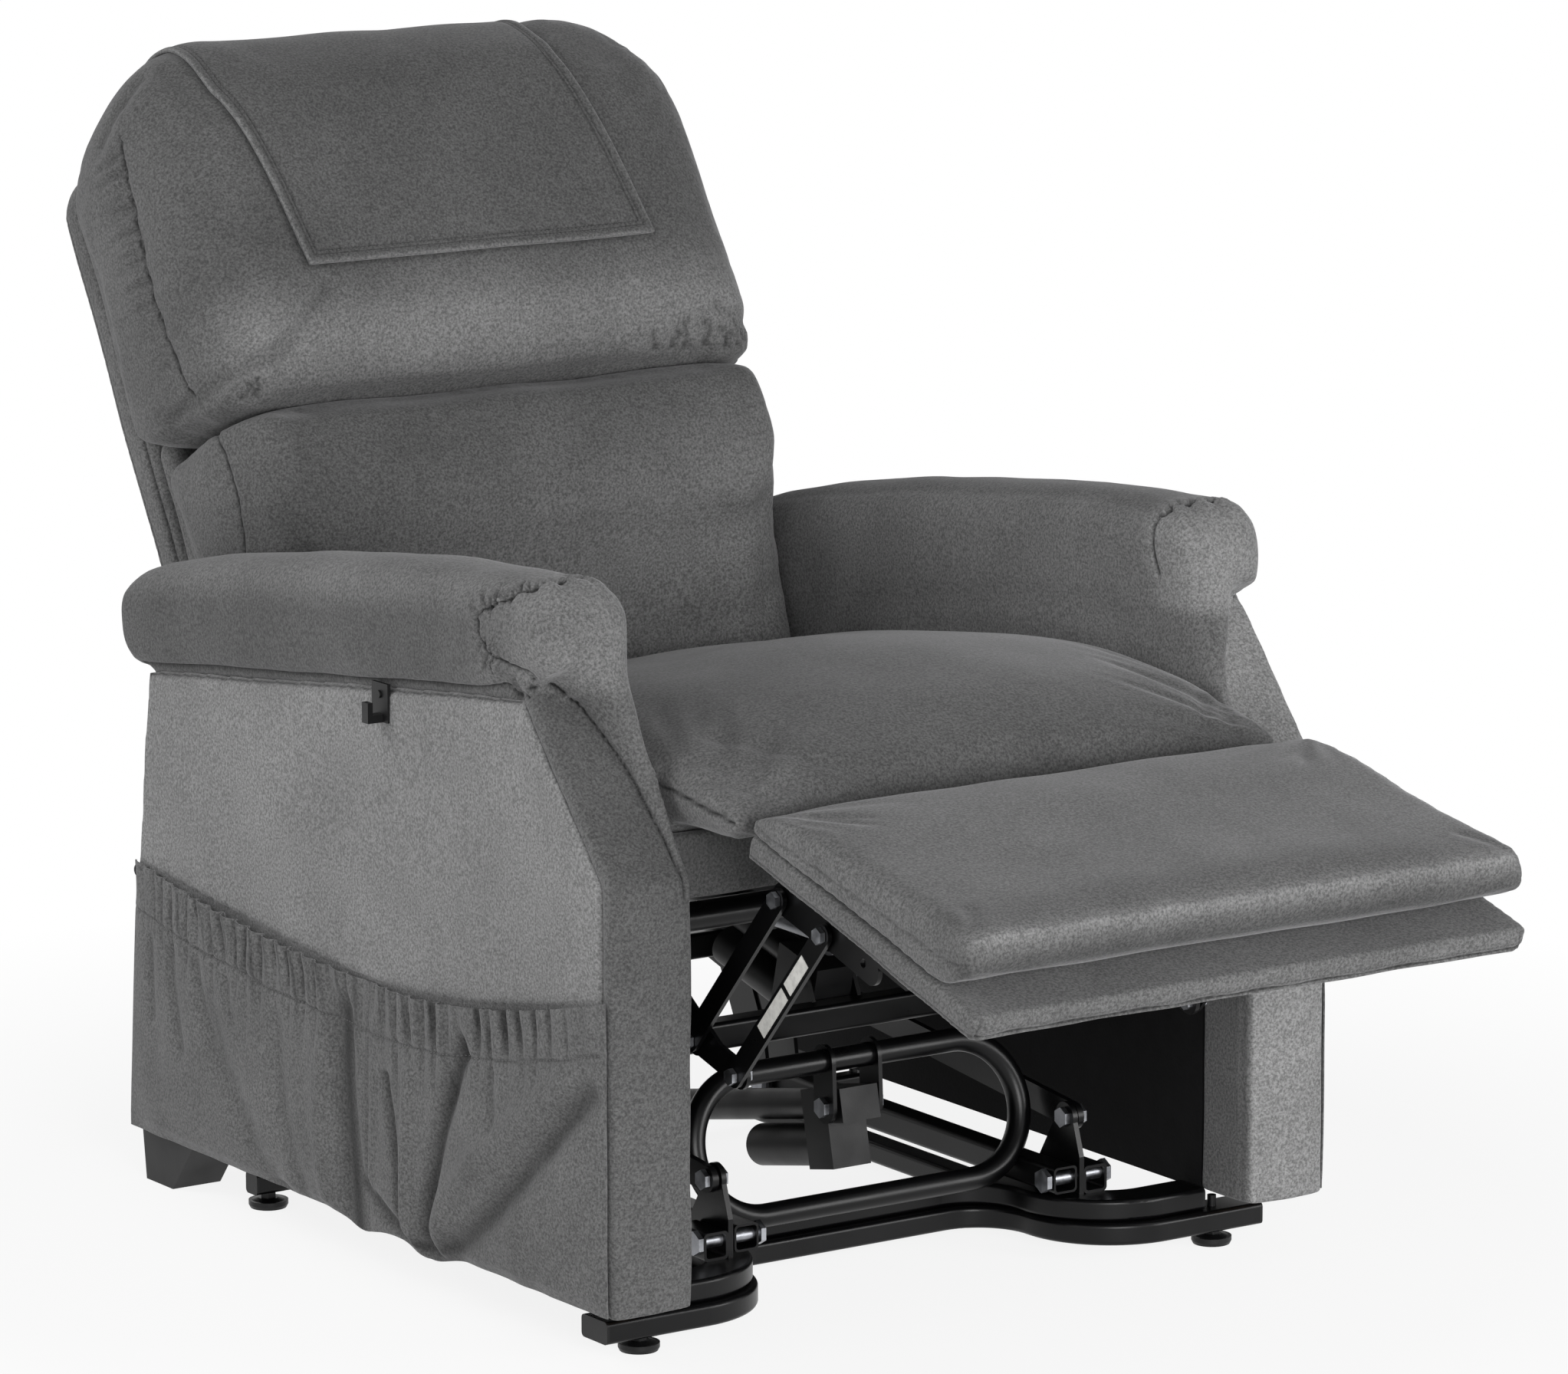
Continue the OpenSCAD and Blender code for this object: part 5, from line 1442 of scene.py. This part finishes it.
# ---------- stage ----------
def seen_directly(tree):
    """1 for the rays that show a surface, straight or in a gloss, and 0 for those that light others."""
    path = node(tree, "ShaderNodeLightPath").outputs
    seen = path["Is Camera Ray"]
    for ray in ("Is Glossy Ray", "Is Transmission Ray"):
        seen = node(tree, "ShaderNodeMath", {0: seen, 1: path[ray]}, operation="MAXIMUM").outputs[0]
    return seen


def make_floor():
    """Matt floor that keeps the shadow near the chair and fades to white away from it."""
    corners = [(-40, -40, 0), (40, -40, 0), (40, 40, 0), (-40, 40, 0)]
    floor = mesh_object("floor", corners, [(0, 1, 2, 3)], smooth=False)
    made = new_material("matt_white_floor_paint")
    tree = made.node_tree
    far = node(tree, "ShaderNodeVectorMath", {0: object_place(tree)}, operation="LENGTH").outputs["Value"]
    fade = node(tree, "ShaderNodeMapRange", {0: far, 1: 0.7, 2: 1.4, 3: 0.86, 4: 1.0}).outputs[0]
    white = node(tree, "ShaderNodeMath", {0: seen_directly(tree), 1: fade},
                 operation="MULTIPLY").outputs[0]
    paint = node(tree, "ShaderNodeBsdfDiffuse", {0: tint("floor"), 1: 0.3}).outputs[0]
    glow = node(tree, "ShaderNodeEmission", {0: (1, 1, 1, 1), 1: 1.0}).outputs[0]
    mixed = node(tree, "ShaderNodeMixShader", {0: white, 1: paint, 2: glow}).outputs[0]
    node(tree, "ShaderNodeOutputMaterial", {0: mixed})
    floor.data.materials.append(made)


def make_world():
    """Even pale light all round, and pure white where it is looked at."""
    world = bpy.data.worlds.new("studio")
    bpy.context.scene.world = world
    world.use_nodes = True
    tree = world.node_tree
    tree.nodes.clear()
    dim, white = (node(tree, "ShaderNodeBackground", {0: (1, 1, 1, 1), 1: strength}).outputs[0]
                  for strength in (0.24, 1.0))
    mixed = node(tree, "ShaderNodeMixShader", {0: seen_directly(tree), 1: dim, 2: white}).outputs[0]
    node(tree, "ShaderNodeOutputWorld", {0: mixed})


def aimed(obj, at, target):
    obj.location = at
    obj.rotation_euler = (Vector(target) - Vector(at)).to_track_quat("-Z", "Y").to_euler()
    return obj


def make_stage():
    """Pale floor, soft studio lights and the camera."""
    make_floor()
    make_world()
    for name, at, wide, power in (("camera_softbox", (-1.2, -3.8, 0.9), 1.6, 80),
                                  ("side_softbox", (-3.2, -0.4, 0.8), 1.6, 14),
                                  ("high_softbox", (-2.4, 1.6, 2.3), 1.6, 40),
                                  ("low_softbox", (1.6, -2.2, 0.6), 1.0, 24)):
        data = bpy.data.lights.new(name, "AREA")
        data.shape, data.size, data.size_y, data.energy = "RECTANGLE", wide, wide, power
        aimed(linked(name, data), at, (0, 0, 0.5))

    scene = bpy.context.scene
    lens = bpy.data.cameras.new("camera")
    lens.sensor_width, lens.lens, lens.clip_end = 36.0, 183.1, 200
    camera = aimed(linked("camera", lens), (-3.861, -5.761, 1.860), (-0.022, -0.098, 0.509))
    camera.rotation_euler.rotate_axis("Z", math.radians(-0.16))
    scene.camera = camera
    scene.view_settings.view_transform = "Standard"


# ---------- add-on ----------
class MakingStep:
    """Runs the functions that make the pieces of one step."""
    makers = ()

    def execute(self, context):
        for make in self.makers:
            make()
        return {"FINISHED"}


class RECLINER_OT_finishes(MakingStep, bpy.types.Operator):
    """Makes every material and gives the frame's own parts theirs"""
    bl_idname, bl_label = "recliner.finishes", "Make the finishes"
    makers = (make_finishes,)


class RECLINER_OT_seat_cushion(MakingStep, bpy.types.Operator):
    """Makes the crowned seat cushion"""
    bl_idname, bl_label = "recliner.seat_cushion", "Seat cushion"
    makers = (make_seat_cushion,)


class RECLINER_OT_lumbar_cushion(MakingStep, bpy.types.Operator):
    """Makes the lower back cushion"""
    bl_idname, bl_label = "recliner.lumbar_cushion", "Lumbar cushion"
    makers = (make_lumbar_cushion,)


class RECLINER_OT_head_cushion(MakingStep, bpy.types.Operator):
    """Makes the head cushion with its boxed and gathered sides"""
    bl_idname, bl_label = "recliner.head_cushion", "Head cushion"
    makers = (make_head_cushion,)


class RECLINER_OT_head_cloth(MakingStep, bpy.types.Operator):
    """Lays the hemmed cloth over the head cushion"""
    bl_idname, bl_label = "recliner.head_cloth", "Headrest cloth"
    makers = (make_head_cloth,)


class RECLINER_OT_back_shell(MakingStep, bpy.types.Operator):
    """Makes the padded outside back"""
    bl_idname, bl_label = "recliner.back_shell", "Outside back"
    makers = (make_back_shell,)


class RECLINER_OT_footrest(MakingStep, bpy.types.Operator):
    """Makes the footrest's pad and its covered board"""
    bl_idname, bl_label = "recliner.footrest", "Footrest"
    makers = (make_footrest_pad, make_footrest_board)


class RECLINER_OT_seat_front(MakingStep, bpy.types.Operator):
    """Makes the cloth over the rail under the seat"""
    bl_idname, bl_label = "recliner.seat_front", "Seat front"
    makers = (make_seat_front,)


class RECLINER_OT_arm_panels(MakingStep, bpy.types.Operator):
    """Makes the outer sides of both arms"""
    bl_idname, bl_label = "recliner.arm_panels", "Side panels"
    makers = (make_arm_panels,)


class RECLINER_OT_arm_covers(MakingStep, bpy.types.Operator):
    """Makes the arm rests with their front strips, inner sides and backs"""
    bl_idname, bl_label = "recliner.arm_covers", "Arm covers"
    makers = (make_arm_covers, make_arm_backs)


class RECLINER_OT_side_pockets(MakingStep, bpy.types.Operator):
    """Makes the gathered pockets with their studs"""
    bl_idname, bl_label = "recliner.side_pockets", "Side pockets"
    makers = (make_side_pockets,)


class RECLINER_OT_link_sticker(MakingStep, bpy.types.Operator):
    """Makes the blank sticker on the left rear link"""
    bl_idname, bl_label = "recliner.link_sticker", "Link sticker"
    makers = (make_link_sticker,)


class RECLINER_OT_stage(MakingStep, bpy.types.Operator):
    """Makes the floor, lights and camera"""
    bl_idname, bl_label = "recliner.stage", "Studio"
    makers = (make_stage,)


class RECLINER_PT_maker(bpy.types.Panel):
    """Sizes, colours and making steps of the recliner"""
    bl_idname = "RECLINER_PT_maker"
    bl_label = "Lift recliner"
    bl_space_type = "VIEW_3D"
    bl_region_type = "UI"
    bl_category = "Recliner"

    def draw(self, context):
        for group in (context.scene.recliner_sizes, context.scene.recliner_colours):
            box = self.layout.box()
            for name in type(group).__annotations__:
                box.prop(group, name)
        for step in OPERATORS:
            self.layout.operator(step.bl_idname)


OPERATORS = (RECLINER_OT_finishes, RECLINER_OT_seat_cushion, RECLINER_OT_lumbar_cushion,
             RECLINER_OT_head_cushion, RECLINER_OT_head_cloth, RECLINER_OT_back_shell,
             RECLINER_OT_footrest, RECLINER_OT_seat_front, RECLINER_OT_arm_panels,
             RECLINER_OT_arm_covers, RECLINER_OT_side_pockets, RECLINER_OT_link_sticker,
             RECLINER_OT_stage)
CLASSES = (ReclinerSizes, ReclinerColours, *OPERATORS, RECLINER_PT_maker)


def register():
    for cls in CLASSES:
        bpy.utils.register_class(cls)
    bpy.types.Scene.recliner_sizes = PointerProperty(type=ReclinerSizes)
    bpy.types.Scene.recliner_colours = PointerProperty(type=ReclinerColours)


def unregister():
    del bpy.types.Scene.recliner_colours
    del bpy.types.Scene.recliner_sizes
    for cls in reversed(CLASSES):
        bpy.utils.unregister_class(cls)


def main():
    register()
    for step in OPERATORS:
        getattr(bpy.ops.recliner, step.bl_idname.split(".")[1])()


if __name__ == "__main__":
    main()
